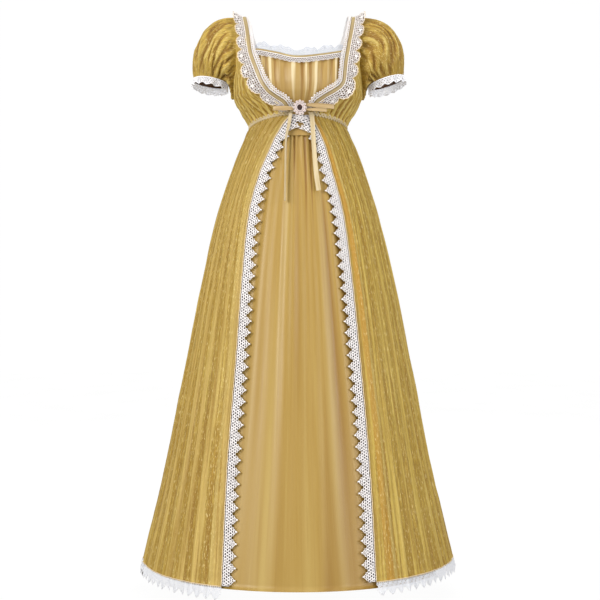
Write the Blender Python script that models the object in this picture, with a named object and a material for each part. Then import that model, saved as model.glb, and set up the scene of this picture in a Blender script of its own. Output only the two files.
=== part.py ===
"""Open-front Regency gown with puff sleeves and a satin front insert, filled out as when worn.

The gown is hollow, and nothing is inside it. All sizes are in metres. The origin is midway
between the tops of the two shoulder straps, where the straps rest on the shoulders. The front
faces -Y, +Z is up, and the wearer's left is +X.

A point of the gown's surface has an angle, 0 at the centre front and growing towards the
wearer's left, and a level, its height before the waist seam's rise or the hem's is added.
Pieces are walls between two grids of such points, one row for each level.
"""

import math

import bpy
import numpy as np


def table(columns, *rows):
    """A short table whose columns are read by name."""
    return np.array(list(rows), dtype=[(name, float) for name in columns.split()])


# Cloth and the gap between pieces that are sewn to each other
CLOTH = 0.0015
LACE = 0.0012
RIBBON = 0.0010
SEAM = 0.0003

# Levels of the seams and hems
UNDERARM = -0.200
WAIST = -0.275
BAND_TOP = -0.3045
BAND_BOTTOM = -0.3185
INSERT_HEM = -1.358
ROBE_HEM = -1.3625

# The waist seam climbs towards the centre front, and takes the cloth near it along
WAIST_RISE = 0.023
WAIST_RISE_POWER = 1.5
WAIST_RISE_END = -0.360
HEM_RISE_START = -1.100

# Widths of the trims
RIBBON_WIDTH = 0.009
BINDING_WIDTH = 0.004
BINDING_THICKNESS = 0.0025
FRILL_HEIGHT = 0.0165
FRILL_DIP = 0.003
BRAID_HALF = 0.0035
BRAID_THICKNESS = 0.0025
CUFF_BAND_WIDTH = 0.008
EDGE_LACE_BAND = 0.018
EDGE_LACE_POINT = 0.0125
EDGE_LACE_PITCH = 0.0268
EDGE_LACE_OVERLAP = 0.004
HEM_LACE_BAND = 0.018
HEM_LACE_POINT = 0.012
HEM_LACE_PITCH = 0.027

# The insert lies this far under the robe's inside, and reaches this far round (degrees)
INSERT_DEPTH = 0.0020
INSERT_BODICE_REACH = 50.0
INSERT_SKIRT_REACH = 62.0
PLEAT_DEPTH = 0.0025
NECKLINE_START = -35.0
NECKLINE_END = 38.0

# Neck edges end under the bow in front and at the centre behind
FRONT_NECK_END = -0.262
BACK_NECK_END = -0.120

# Sleeve: cuff, how far the arm is held out (degrees), and the gathers round it
CUFF_CENTRE = (0.219, 0.0, -0.157)
CUFF_HALF_WIDTH = 0.043
CUFF_HALF_DEPTH = 0.045
CUFF_EASE = 0.0030
ARM_OUT = 17.0
ARMHOLE_GAP = 0.0028
SLEEVE_GATHERS = 18
GATHER_DEPTH = 0.0035

# Sleeve curve, under the arm and on top of it: how far its lines run straight out of the
# armhole and straight up from the cuff, and how far they bulge there
SLEEVE_OUT = (0.010, 0.071)
SLEEVE_UP = (0.002, 0.074)
SLEEVE_BULGE = (0.006, 0.042)
SLEEVE_FORWARD = 0.030
SLEEVE_CAP_RISE = 0.016

# Horizontal sections of the gown, shoulder to hem. Between its rows every size changes evenly,
# so each piece that has a row at these levels lies parallel to the pieces under it.
SECTIONS = table(
    "level half_width front back squareness",
    (0.000, 0.1960, 0.0003, 0.0003, 2.30),
    (-0.006, 0.1940, 0.024, 0.024, 2.30),
    (-0.020, 0.1900, 0.045, 0.043, 2.30),
    (-0.045, 0.1820, 0.073, 0.066, 2.30),
    (-0.080, 0.1720, 0.101, 0.086, 2.30),
    (-0.100, 0.1680, 0.113, 0.092, 2.30),
    (-0.120, 0.1650, 0.122, 0.096, 2.30),
    (-0.150, 0.1630, 0.131, 0.099, 2.30),
    (-0.175, 0.1610, 0.133, 0.098, 2.30),
    (-0.200, 0.1580, 0.129, 0.096, 2.25),
    (-0.235, 0.1410, 0.115, 0.093, 2.15),
    (-0.275, 0.1190, 0.098, 0.092, 2.05),
    (-0.300, 0.1255, 0.104, 0.101, 2.00),
    (-0.340, 0.1410, 0.116, 0.120, 2.00),
    (-0.400, 0.1620, 0.133, 0.145, 2.00),
    (-0.500, 0.1925, 0.160, 0.178, 2.00),
    (-0.650, 0.2280, 0.192, 0.215, 2.00),
    (-0.850, 0.2680, 0.229, 0.255, 2.00),
    (-1.100, 0.3170, 0.273, 0.303, 2.00),
    (-1.3625, 0.3765, 0.322, 0.352, 2.00),
)

# Edges of the bodice: the neck edge on each side of the front, and the armhole
NECK = table(
    "level right left armhole",
    (0.000, 0.1300, 0.1345, 0.158),
    (-0.006, 0.1285, 0.1335, 0.157),
    (-0.020, 0.1250, 0.1310, 0.155),
    (-0.045, 0.1200, 0.1265, 0.153),
    (-0.080, 0.1150, 0.1195, 0.151),
    (-0.100, 0.1120, 0.1160, 0.150),
    (-0.120, 0.1060, 0.1125, 0.150),
    (-0.150, 0.0950, 0.1090, 0.1525),
    (-0.175, 0.0850, 0.1062, 0.157),
    (-0.1875, 0.0775, 0.0985, 0.158),
    (-0.1935, 0.0730, 0.0905, 0.158),
    (-0.200, 0.0680, 0.0810, 0.158),
    (-0.2085, 0.0595, 0.0695, 0.158),
    (-0.2175, 0.0500, 0.0590, 0.158),
    (-0.235, 0.0310, 0.0420, 0.158),
    (-0.275, 0.0130, 0.0280, 0.158),
)

# Back neck edge, the same on both sides. Below its last row the back meets at the centre.
BACK_NECK = table(
    "level half_width",
    (0.000, 0.1320),
    (-0.006, 0.1300),
    (-0.020, 0.1260),
    (-0.045, 0.1190),
    (-0.080, 0.1020),
    (-0.100, 0.0780),
    (-0.107, 0.0620),
    (-0.112, 0.0450),
    (-0.116, 0.0270),
    (-0.118, 0.0120),
    (-0.120, 0.0002),
)

# Where the robe's skirt opens at the front, and how high its folds and the insert's stand
OPENING = table(
    "level right left robe_fold insert_fold",
    (-0.275, 0.0130, 0.0280, 0.0000, 0.0000),
    (-0.300, 0.0375, 0.0445, 0.0030, 0.0000),
    (-0.340, 0.0650, 0.0655, 0.0060, 0.0030),
    (-0.400, 0.0912, 0.0827, 0.0080, 0.0045),
    (-0.500, 0.1165, 0.1073, 0.0090, 0.0060),
    (-0.650, 0.1335, 0.1285, 0.0100, 0.0065),
    (-0.850, 0.1475, 0.1510, 0.0110, 0.0060),
    (-1.100, 0.1663, 0.1715, 0.0110, 0.0050),
    (-1.3625, 0.1720, 0.1830, 0.0100, 0.0030),
)

# The insert's neckline, and the rise of the robe's hem above its lowest level, by angle
NECKLINE = table(
    "angle height",
    (-50, -0.0980),
    (-35, -0.0995),
    (-16, -0.1108),
    (0, -0.1223),
    (17, -0.1160),
    (40, -0.1034),
    (50, -0.1000),
)
HEM_RISE = table(
    "angle height",
    (-180, 0), (-90, 0.0140), (-50, 0.0085), (-30, 0.0080), (30, 0.0175), (90, 0.0210), (180, 0),
)

# How deep the insert's pleats are, as a share of their full depth
PLEAT_FADE = table("level share", (-0.120, 1.0), (-0.200, 0.7), (BAND_TOP, 0.35))

# Folds of each piece in order: width as a share of the whole, and height as a share of full
RIGHT_FOLDS = table(
    "width height",
    (10, 0.7), (13, 1.0), (9, 0.6), (12, 0.9), (14, 1.0), (9, 0.7), (12, 1.0), (10, 0.8), (9, 0.9),
)
LEFT_FOLDS = table(
    "width height",
    (12, 0.9), (9, 0.6), (13, 1.0), (10, 0.8), (12, 0.9), (10, 0.6), (14, 1.0), (9, 0.8), (10, 0.9),
)
BACK_LEFT_FOLDS = table(
    "width height",
    (9, 0.9), (12, 1.0), (10, 0.7), (14, 1.0), (9, 0.6), (12, 0.9), (13, 1.0), (9, 0.8), (11, 1.0),
)
BACK_RIGHT_FOLDS = table(
    "width height",
    (14, 1.1), (10, 0.8), (13, 1.1), (9, 0.7), (12, 1.0), (14, 0.9), (10, 1.0), (9, 0.7), (13, 1.0),
)
INSERT_FOLDS = table(
    "width height",
    (14, 1.0), (12, 0.7), (14, 1.0), (10, 0.8), (9, 1.0), (8, 0.7), (10, 1.0),
    (8, 0.8), (9, 1.0), (10, 0.7), (12, 1.0), (14, 0.8), (13, 1.0),
)
PLEATS = table(
    "width height",
    (10, 1.0), (8, 0.8), (11, 1.0), (9, 0.7), (8, 1.0),
    (10, 0.8), (9, 1.0), (11, 0.9), (8, 0.7), (10, 1.0),
)
SKIRT_SIDES = (("right", -1, RIGHT_FOLDS, BACK_RIGHT_FOLDS), ("left", 1, LEFT_FOLDS, BACK_LEFT_FOLDS))
LACED_EDGE = 6  # width that stays flat under the lace, in the same shares
PLEAT_MARGIN = 8  # flat width at each side of the pleats

# Cross-sections of the trims: how far each row lies across and how far it stands off, and
# how much further at every second station
RIBBON_ROWS = table(
    "across across_wave lift lift_wave",
    (0.0, 0.0, 0.0, 0.0),
    (RIBBON_WIDTH, 0.0, 0.0, 0.0),
)
RUFFLE_ROWS = table(
    "across across_wave lift lift_wave",
    (0.004, 0.0, 0.0, 0.0),
    (0.015, 0.0, 0.002, 0.004),
    (0.026, 0.004, 0.001, 0.011),
)
INNER_LACE_ROWS = table(
    "across across_wave lift lift_wave",
    (-SEAM, 0.0, 0.0, 0.0),
    (-0.010, 0.002, 0.0018, 0.0),
)
CUFF_BAND_ROWS = table(
    "across across_wave lift lift_wave",
    (0.0, 0.0, 0.0, 0.0),
    (CUFF_BAND_WIDTH, 0.0, 0.0, 0.0),
)
CUFF_LACE_ROWS = table(
    "across across_wave lift lift_wave",
    (0.0, 0.0, 0.0005, 0.0),
    (0.010, 0.0, 0.001, 0.003),
    (0.020, -0.003, 0.003, 0.008),
)
BINDING_ROWS = table(
    "across across_wave lift lift_wave",
    (2 * SEAM + BINDING_WIDTH, 0.0, 0.0, 0.0),
    (2 * SEAM, 0.0, 0.0, 0.0),
)
LACE_BAND_ROWS = table(
    "across across_wave lift lift_wave",
    (-0.001, 0.0, 0.0, 0.0),
    (-0.0125, 0.003, 0.0, 0.0),
)
FRILL_ROWS = table(
    "across across_wave lift lift_wave",
    (FRILL_HEIGHT, 0.0, -0.001, 0.004),
    (FRILL_HEIGHT / 2, 0.0, -0.0005, 0.002),
    (0.0, 0.0, 0.0, 0.0),
)

# The ruffle's waves flatten towards the waist, where the bow lies over them
RUFFLE_SWELL = table("along share", (0.0, 0.5), (0.15, 1.0), (0.7, 0.8), (1.0, 0.15))

# Rows of the sleeve from armhole to cuff, with the share of the gathers' depth
SLEEVE_ROWS = table(
    "along gather",
    (0.0, 0.0), (0.12, 0.8), (0.3, 1.0), (0.52, 0.9), (0.74, 1.0), (0.9, 0.8), (1.0, 0.3),
)

# Bow: knot, brooch and stone as bosses, and the loops' ends
KNOT_CENTRE = (0.006, -0.1155, -0.2400)
KNOT_PROFILE = table("share forward", (0.75, 0.0), (1.0, 0.002), (1.0, 0.007), (0.75, 0.009))
BROOCH_PROFILE = table("share forward", (0.92, 0.0), (1.0, 0.001), (0.95, 0.0028), (0.5, 0.0036))
STONE_PROFILE = table("share forward", (1.0, 0.0), (0.95, 0.0014), (0.6, 0.0026))
LOOP_RIGHT = ((-0.0045, -0.1205, -0.2415), (-0.0600, -0.1205, -0.2380))
LOOP_LEFT = ((0.0165, -0.1205, -0.2360), (0.0880, -0.1115, -0.2385))
LOOP_SMALL = ((0.0160, -0.1205, -0.2474), (0.0700, -0.1165, -0.2478))

# Ribbon tails: where their middle hangs, and the direction and size of their width
TAIL_LEFT = table(
    "x level lift wide_x wide_y wide_z",
    (0.0270, -0.2604, 0.0183, 0.011, 0.001, 0.0),
    (0.0320, -0.290, 0.0100, 0.011, 0.0, 0.002),
    (0.0370, -0.340, 0.0070, 0.011, 0.0, 0.002),
    (0.0420, -0.400, 0.0060, 0.011, 0.0, 0.002),
    (0.0480, -0.446, 0.0060, 0.011, 0.0, 0.002),
)
TAIL_RIGHT = table(
    "x level lift wide_x wide_y wide_z",
    (-0.0125, -0.2569, 0.0148, 0.0095, 0.0, 0.0),
    (-0.0200, -0.300, 0.0115, 0.0080, -0.006, 0.0),
    (-0.0270, -0.332, 0.0110, 0.0045, -0.009, 0.0),
    (-0.0290, -0.400, 0.0085, 0.0040, -0.009, 0.0),
    (-0.0294, -0.472, 0.0080, 0.0040, -0.009, 0.0),
)

# Finishes: material, colour, roughness and metallic value
GOLD_CLOTH = ("robe_cloth", (0.52, 0.36, 0.07), 0.55, 0.25)
SATIN = ("satin", (0.56, 0.38, 0.12), 0.35, 0.0)
WHITE_LACE = ("lace", (0.86, 0.83, 0.80), 0.8, 0.0)
GOLD_RIBBON = ("ribbon", (0.62, 0.46, 0.22), 0.4, 0.0)
BROOCH_METAL = ("metal", (0.80, 0.62, 0.40), 0.3, 1.0)
STONE = ("stone", (0.10, 0.05, 0.03), 0.1, 0.0)


def between(rows, level, column):
    """The value of a table's column at this level, changing evenly between its rows."""
    return float(np.interp(-level, -rows["level"], rows[column]))


def by_angle(rows, angle):
    return float(np.interp(math.degrees(angle), rows["angle"], rows["height"]))


def rounded(value, squareness):
    """A sine or cosine drawn out towards the corners of a squarer oval."""
    return math.copysign(abs(value) ** (2 / squareness), value)


def surface(angle, level, hem=True):
    """A point of the gown's main surface, before any fold."""
    sine, cosine = math.sin(angle), math.cos(angle)
    squareness = between(SECTIONS, level, "squareness")
    depth = between(SECTIONS, level, "front" if cosine > 0 else "back")
    near_waist = float(np.interp(-level, [-UNDERARM, -WAIST, -WAIST_RISE_END], [0, 1, 0]))
    rise = WAIST_RISE * max(0.0, cosine) ** WAIST_RISE_POWER * near_waist
    if hem:
        near_hem = max(0.0, (HEM_RISE_START - level) / (HEM_RISE_START - ROBE_HEM))
        rise += by_angle(HEM_RISE, math.atan2(sine, cosine)) * near_hem
    return np.array([
        between(SECTIONS, level, "half_width") * rounded(sine, squareness),
        -depth * rounded(cosine, squareness),
        level + rise,
    ])


def normal(angle, level):
    """The outward direction of the main surface, straight up on top of the shoulder."""
    if level > -SEAM:
        return np.array([0.0, 0.0, 1.0])
    turn, step = 0.02, 0.004
    across = surface(angle + turn, level, False) - surface(angle - turn, level, False)
    upper = surface(angle, min(0.0, level + step), False)
    lower = surface(angle, max(ROBE_HEM, level - step), False)
    found = np.cross(across, upper - lower)
    return found / np.linalg.norm(found)


def lifted(angle, level, lift, hem=True):
    return surface(angle, level, hem) + lift * normal(angle, level)


def angle_at(x, level):
    """The angle at which the front surface has this X."""
    share = min(1.0, abs(x) / between(SECTIONS, level, "half_width"))
    return math.copysign(math.asin(share ** (between(SECTIONS, level, "squareness") / 2)), x)


def turn_width(angle, level):
    """Length along the surface for one radian at this place."""
    turn = 0.01
    return np.linalg.norm(surface(angle + turn, level) - surface(angle - turn, level)) / (2 * turn)


def levels_between(top, bottom, *tables):
    """This top and bottom level, and each level of the sections and these tables between them."""
    closest = 0.001
    found = {float(level) for rows in (SECTIONS, *tables) for level in rows["level"]}
    inner = sorted((v for v in found if bottom + closest < v < top - closest), reverse=True)
    return [top, *inner, bottom]


def principled(finish):
    name, colour, roughness, metallic = finish
    material = bpy.data.materials.get(name) or bpy.data.materials.new(name)
    material.use_nodes = True
    shader = material.node_tree.nodes["Principled BSDF"]
    shader.inputs["Base Color"].default_value = (*colour, 1)
    shader.inputs["Roughness"].default_value = roughness
    shader.inputs["Metallic"].default_value = metallic
    return material


def add_mesh(name, points, faces, finish):
    """One object from a closed triangle mesh, turned so that its faces point out."""
    points = np.asarray(points, float)
    faces = np.asarray(faces, int)
    if np.linalg.det(points[faces]).sum() < 0:
        faces = faces[:, ::-1]
    mesh = bpy.data.meshes.new(name)
    mesh.from_pydata(points.tolist(), [], faces.tolist())
    mesh.materials.append(principled(finish))
    mesh.shade_smooth()
    mesh.set_sharp_from_angle(angle=math.radians(40))
    bpy.context.scene.collection.objects.link(bpy.data.objects.new(name, mesh))


def add_wall(name, outer, inner, finish, ring=False):
    """The closed wall between two grids of points. A ring's last column joins its first."""
    outer, inner = np.asarray(outer), np.asarray(inner)
    rows, columns = outer.shape[:2]
    count = rows * columns
    spans = columns if ring else columns - 1
    faces = []

    def quad(a, b, c, d):
        faces.extend([(a, b, c), (a, c, d)])

    for r in range(rows - 1):
        for c in range(spans):
            a, b = r * columns + c, r * columns + (c + 1) % columns
            d, e = a + columns, b + columns
            quad(a, b, e, d)
            faces.extend([(count + a, count + e, count + b), (count + a, count + d, count + e)])
    last = (rows - 1) * columns
    for c in range(spans):
        a, b = c, (c + 1) % columns
        quad(b, a, count + a, count + b)
        quad(last + a, last + b, count + last + b, count + last + a)
    if not ring:
        for r in range(rows - 1):
            a, d = r * columns, (r + 1) * columns
            quad(a, d, count + d, count + a)
            b, e = a + columns - 1, d + columns - 1
            quad(e, b, count + b, count + e)
    add_mesh(name, np.concatenate([outer.reshape(-1, 3), inner.reshape(-1, 3)]), faces, finish)


def grid_normals(grid, ring=False):
    """A unit normal at each point of a grid, from its neighbours' places."""
    grid = np.asarray(grid)
    across = np.roll(grid, -1, 1) - np.roll(grid, 1, 1)
    if not ring:
        across[:, 0] = grid[:, 1] - grid[:, 0]
        across[:, -1] = grid[:, -1] - grid[:, -2]
    found = np.cross(across, np.gradient(grid, axis=0))
    return found / np.linalg.norm(found, axis=2, keepdims=True)


def add_body_wall(name, finish, levels, angles, lift, thickness=CLOTH, hem=True):
    """A wall on the main surface: angles(level) are its columns, lift(column, level) its folds."""
    outer, inner = [], []
    for level in levels:
        places = [(angle, lift(c, level)) for c, angle in enumerate(angles(level))]
        outer.append([lifted(angle, level, high + thickness, hem) for angle, high in places])
        inner.append([lifted(angle, level, high, hem) for angle, high in places])
    add_wall(name, outer, inner, finish)


def fold_places(folds, start=0.0, end=0.0):
    """Shares of the width at each fold's sides and crest, and the height there, from 0 to 1.

    The start and end stay flat for this width."""
    at = start
    places = [(0.0, 0.0)]
    if start:
        places.append((at, 0.0))
    for fold in folds:
        places += [(at + fold["width"] / 2, fold["height"]), (at + fold["width"], 0.0)]
        at += fold["width"]
    if end:
        at += end
        places.append((at, 0.0))
    return np.array([place / at for place, height in places]), [height for place, height in places]


def trim_place(row, station, swell=1.0):
    """How far across a trim's row lies at a station, and how far it stands off."""
    wave = station % 2
    return row["across"] + wave * row["across_wave"], swell * (row["lift"] + wave * row["lift_wave"])


def opening_angle(side, level):
    return angle_at(side * between(OPENING, level, "right" if side < 0 else "left"), level)


def neck_x(side, level, front):
    if front:
        return side * between(NECK, level, "right" if side < 0 else "left")
    return side * between(BACK_NECK, level, "half_width")


def seam_turn(level):
    """Half the seam gap at the side seam, as an angle."""
    return SEAM / 2 / between(SECTIONS, level, "half_width")


def bodice_angles(side, front, level):
    """The neck edge's angle and the armhole's or side seam's, of one quarter of the bodice."""
    inner = abs(angle_at(neck_x(side, level, front), level))
    outer = math.pi / 2 - seam_turn(level)
    if level > UNDERARM + SEAM:
        outer = min(outer, angle_at(between(NECK, level, "armhole"), level))
    if front:
        return side * inner, side * outer
    return side * (math.pi - inner), side * (math.pi - outer)


def bodice_levels(front, bottom):
    return levels_between(0.0, bottom, NECK if front else BACK_NECK)


def add_bodice(name, side, front):
    columns = 12 if front else 9

    def angles(level):
        start, end = bodice_angles(side, front, level)
        return np.linspace(start, end, columns)

    levels = bodice_levels(front, WAIST + SEAM)
    add_body_wall(name, GOLD_CLOTH, levels, angles, lambda c, level: 0.0)


def add_robe_skirt(name, folds, flat, ends):
    """A skirt panel between the two angles that ends(level) gives, with folds all along."""
    shares, heights = fold_places(folds, flat)

    def angles(level):
        start, end = ends(level)
        return start + (end - start) * shares

    def lift(c, level):
        return heights[c] * between(OPENING, level, "robe_fold")

    add_body_wall(name, GOLD_CLOTH, levels_between(WAIST - SEAM, ROBE_HEM), angles, lift)


def front_panel_ends(side, level):
    return opening_angle(side, level), side * (math.pi / 2 - seam_turn(level))


def back_panel_ends(side, level):
    """The side seam's angle and the centre back seam's."""
    return side * (math.pi / 2 + seam_turn(level)), side * (math.pi - seam_turn(level))


def add_skirts():
    for name, side, front, back in SKIRT_SIDES:
        add_robe_skirt(f"skirt_front_{name}", front, LACED_EDGE, lambda level: front_panel_ends(side, level))
        add_robe_skirt(f"skirt_back_{name}", back, 0, lambda level: back_panel_ends(side, level))


def add_insert_bodice():
    """Pleated satin front, sunk under the robe but sewn to it at both sides."""
    shares, heights = fold_places(PLEATS, PLEAT_MARGIN, PLEAT_MARGIN)
    reach = math.radians(INSERT_BODICE_REACH)
    angles = reach * (2 * shares - 1)
    top, upper_row = 0.0, -0.128
    outer, inner = [], []
    for level in [top, upper_row, *levels_between(-0.150, BAND_TOP)]:
        depth = PLEAT_DEPTH * between(PLEAT_FADE, level, "share")
        outer_row, inner_row = [], []
        for i, angle in enumerate(angles):
            here = by_angle(NECKLINE, angle) if level == top else level
            sunk = 2 * SEAM if i in (0, len(angles) - 1) else INSERT_DEPTH + depth * (1 - heights[i])
            outer_row.append(lifted(angle, here, -sunk))
            inner_row.append(lifted(angle, here, -sunk - CLOTH))
        outer.append(outer_row)
        inner.append(inner_row)
    add_wall("insert_bodice", outer, inner, SATIN)


def add_insert_skirt():
    """Plain waistband and gathered skirt panel under the robe."""
    reach = math.radians(INSERT_SKIRT_REACH)
    sunk = -INSERT_DEPTH - CLOTH

    def band_angles(level):
        return np.linspace(-reach, reach, 33)

    band = [BAND_TOP - SEAM, BAND_BOTTOM]
    add_body_wall("insert_waistband", SATIN, band, band_angles, lambda c, level: sunk)
    shares, heights = fold_places(INSERT_FOLDS)

    def skirt_angles(level):
        return reach * (2 * shares - 1)

    def lift(c, level):
        return sunk - between(OPENING, level, "insert_fold") * (1 - heights[c])

    levels = levels_between(BAND_BOTTOM - SEAM, INSERT_HEM)
    add_body_wall("insert_skirt", SATIN, levels, skirt_angles, lift, hem=False)


def add_neckline_strip(name, finish, rows, stations, foot, lift, thickness):
    """A trim along the insert's neckline, across it by each row and this far above it."""
    start, end = math.radians(NECKLINE_START), math.radians(NECKLINE_END)
    outer, inner = [], []
    for number, row in enumerate(rows):
        outer_row, inner_row = [], []
        for i in range(stations):
            angle = start + (end - start) * i / (stations - 1)
            at_end = min(1.0, 0.25 * min(i, stations - 1 - i))
            across, off = trim_place(row, i, at_end)
            if name == "neck_frill" and number == 0 and i % 4 == 0:
                across -= FRILL_DIP
            level = by_angle(NECKLINE, angle) + foot + across
            outer_row.append(lifted(angle, level, lift + off + thickness))
            inner_row.append(lifted(angle, level, lift + off))
        outer.append(outer_row)
        inner.append(inner_row)
    add_wall(name, outer, inner, finish)


def add_neckline_trims():
    """Bound edge, lace band and standing frill of the insert's neckline."""
    sunk = -INSERT_DEPTH - CLOTH
    on_front = -INSERT_DEPTH + SEAM
    over_binding = BINDING_WIDTH + 6 * SEAM
    add_neckline_strip("neck_binding", SATIN, BINDING_ROWS, 17, 0.0, sunk, BINDING_THICKNESS)
    add_neckline_strip("neck_lace_band", WHITE_LACE, LACE_BAND_ROWS, 25, 0.0, on_front, LACE)
    add_neckline_strip("neck_frill", WHITE_LACE, FRILL_ROWS, 33, over_binding, sunk, LACE)


def neck_edge(side, front, step):
    """Stations along a neck edge, shoulder first: their points, normals and outward directions."""
    rows = bodice_levels(front, FRONT_NECK_END if front else BACK_NECK_END)
    levels = []
    for upper, lower in zip(rows, rows[1:]):
        here = surface(angle_at(neck_x(side, upper, front), upper), upper)
        there = surface(angle_at(neck_x(side, lower, front), lower), lower)
        parts = max(1, round(np.linalg.norm(there - here) / step))
        levels += [upper + (lower - upper) * i / parts for i in range(parts)]
    levels.append(rows[-1])
    angles = [bodice_angles(side, front, level)[0] for level in levels]
    points = np.array([surface(angle, level) for angle, level in zip(angles, levels)])
    normals = np.array([normal(angle, level) for angle, level in zip(angles, levels)])
    out = np.cross(normals, np.gradient(points, axis=0)) * side * (1 if front else -1)
    out /= np.linalg.norm(out, axis=1, keepdims=True)
    out[0] = (side, 0.0, 0.0)
    return points, normals, out


def back_neck_edge(step):
    """Stations right round the back neck, from the right shoulder to the left one."""
    right = neck_edge(-1, False, step)
    left = neck_edge(1, False, step)
    points, normals, out = (np.concatenate([r[:-1], l[::-1]]) for r, l in zip(right, left))
    middle = len(right[0]) - 1
    points[middle] = (right[0][-1] + left[0][-1]) / 2
    out[middle] = (0.0, 0.0, -1.0)
    out[middle] -= normals[middle] * (out[middle] @ normals[middle])
    out[middle] /= np.linalg.norm(out[middle])
    return points, normals, out


def add_neck_strip(name, finish, edge, rows, lift, thickness, swells):
    """A trim along a neck edge, across it by each row and lifted off the cloth."""
    outer, inner = [], []
    for row in rows:
        outer_row, inner_row = [], []
        for i, (point, away, out) in enumerate(zip(*edge)):
            across, off = trim_place(row, i, swells[i])
            place = point + out * across + away * (lift + off)
            outer_row.append(place + away * thickness)
            inner_row.append(place)
        outer.append(outer_row)
        inner.append(inner_row)
    add_wall(name, outer, inner, finish)


def add_neck_trims():
    """Ribbon, ruffle and inner lace along each neck edge, in front and behind."""
    whole, ruffle_step, lace_step = 1.0, 0.0125, 0.02
    ribbon_lift = CLOTH + 2 * SEAM
    ruffle_lift = ribbon_lift + RIBBON + 2 * SEAM
    for name in ("right", "left", "back"):
        if name == "back":
            edges = [back_neck_edge(step) for step in (whole, ruffle_step, lace_step)]
        else:
            side = -1 if name == "right" else 1
            edges = [neck_edge(side, True, step) for step in (whole, ruffle_step, lace_step)]
        plain = [1.0] * len(edges[0][0])
        add_neck_strip(f"neck_ribbon_{name}", GOLD_RIBBON, edges[0], RIBBON_ROWS, ribbon_lift, RIBBON, plain)

        # The front ruffle and inner lace begin one station below the shoulder
        if name != "back":
            edges[1:] = [[part[1:] for part in edge] for edge in edges[1:]]
        count = len(edges[1][0])
        swells = [1.0] * count
        if name != "back":
            swells = np.interp(np.arange(count) / count, RUFFLE_SWELL["along"], RUFFLE_SWELL["share"])
        add_neck_strip(f"ruffle_{name}", WHITE_LACE, edges[1], RUFFLE_ROWS, ruffle_lift, LACE, swells)
        plain = [1.0] * len(edges[2][0])
        add_neck_strip(f"inner_lace_{name}", WHITE_LACE, edges[2], INNER_LACE_ROWS, SEAM, LACE, plain)


def armhole_point(turn):
    """A point of the left armhole: turn 0 is the shoulder, a quarter in front, a half underarm."""
    level = UNDERARM / 2 * (1 - math.cos(turn * 2 * math.pi))
    angle = angle_at(between(NECK, level, "armhole"), level)
    return surface(math.pi - angle if turn > 0.5 else angle, level)


def arm_directions():
    """Down the left arm, away from the body across it, and forward."""
    tilt = math.radians(ARM_OUT)
    down = np.array([math.sin(tilt), 0.0, -math.cos(tilt)])
    across = np.array([math.cos(tilt), 0.0, math.sin(tilt)])
    return down, across, np.array([0.0, -1.0, 0.0])


def cuff_point(side, turn, drop, growth):
    """A point round the arm, this far below the sleeve's end and this much wider than the cuff."""
    down, across, forward = arm_directions()
    circle = turn * 2 * math.pi
    point = np.array(CUFF_CENTRE) + down * drop
    point += across * math.cos(circle) * (CUFF_HALF_WIDTH + growth)
    point += forward * math.sin(circle) * (CUFF_HALF_DEPTH + growth)
    return point * (side, 1, 1)


def sleeve_point(side, turn, along):
    """A point of the sleeve's surface. Along runs from the armhole, 0, to the cuff, 1."""
    down, across, forward = arm_directions()
    circle = turn * 2 * math.pi
    top = (1 + math.cos(circle)) / 2
    spoke = across * math.cos(circle) + forward * math.sin(circle)
    start = armhole_point(turn) + (ARMHOLE_GAP, 0.0, 0.0)
    end = cuff_point(1, turn, 0.0, CUFF_EASE)
    out = np.interp(top, [0, 1], SLEEVE_OUT)
    up = np.interp(top, [0, 1], SLEEVE_UP)
    bulge = np.interp(2 * top, [0, 1], SLEEVE_BULGE)
    first = start + forward * math.sin(circle) * SLEEVE_FORWARD
    first += (out, 0.0, SLEEVE_CAP_RISE * math.cos(circle))
    second = end - down * up + spoke * bulge
    t = along
    point = (1 - t) ** 3 * start + 3 * t * (1 - t) ** 2 * first + 3 * t * t * (1 - t) * second + t ** 3 * end
    return point * (side, 1, 1)


def add_cuff_ring(name, finish, side, rows, stations, foot, thickness):
    """A ring of cloth round the arm, with its rows this far below the sleeve's end."""
    outer, inner = [], []
    for row in rows:
        outer_row, inner_row = [], []
        for i in range(stations):
            drop, growth = trim_place(row, i)
            outer_row.append(cuff_point(side, i / stations, foot + drop, growth + thickness))
            inner_row.append(cuff_point(side, i / stations, foot + drop, growth))
        outer.append(outer_row)
        inner.append(inner_row)
    add_wall(name, outer, inner, finish, ring=True)


def add_sleeve(name, side):
    """Gathered sleeve, cuff band and the cuff's lace flounce."""
    around = 2 * SLEEVE_GATHERS
    grid = np.array([
        [sleeve_point(side, c / around, row["along"]) for c in range(around)] for row in SLEEVE_ROWS
    ])
    away = grid_normals(grid, ring=True)
    middle = len(grid) // 2
    if ((grid[middle] - grid[middle].mean(axis=0)) * away[middle]).sum() < 0:
        away = -away
    wave = np.arange(around) % 2
    gathers = GATHER_DEPTH * SLEEVE_ROWS["gather"][:, None] * wave[None, :]
    inner = grid + away * gathers[:, :, None]
    add_wall(f"sleeve_{name}", inner + away * CLOTH, inner, GOLD_CLOTH, ring=True)

    gap = 2 * SEAM
    lace_foot = 2 * gap + CUFF_BAND_WIDTH
    add_cuff_ring(f"cuff_band_{name}", SATIN, side, CUFF_BAND_ROWS, around, gap, CLOTH)
    add_cuff_ring(f"cuff_lace_{name}", WHITE_LACE, side, CUFF_LACE_ROWS, 28, lace_foot, LACE)


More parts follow.
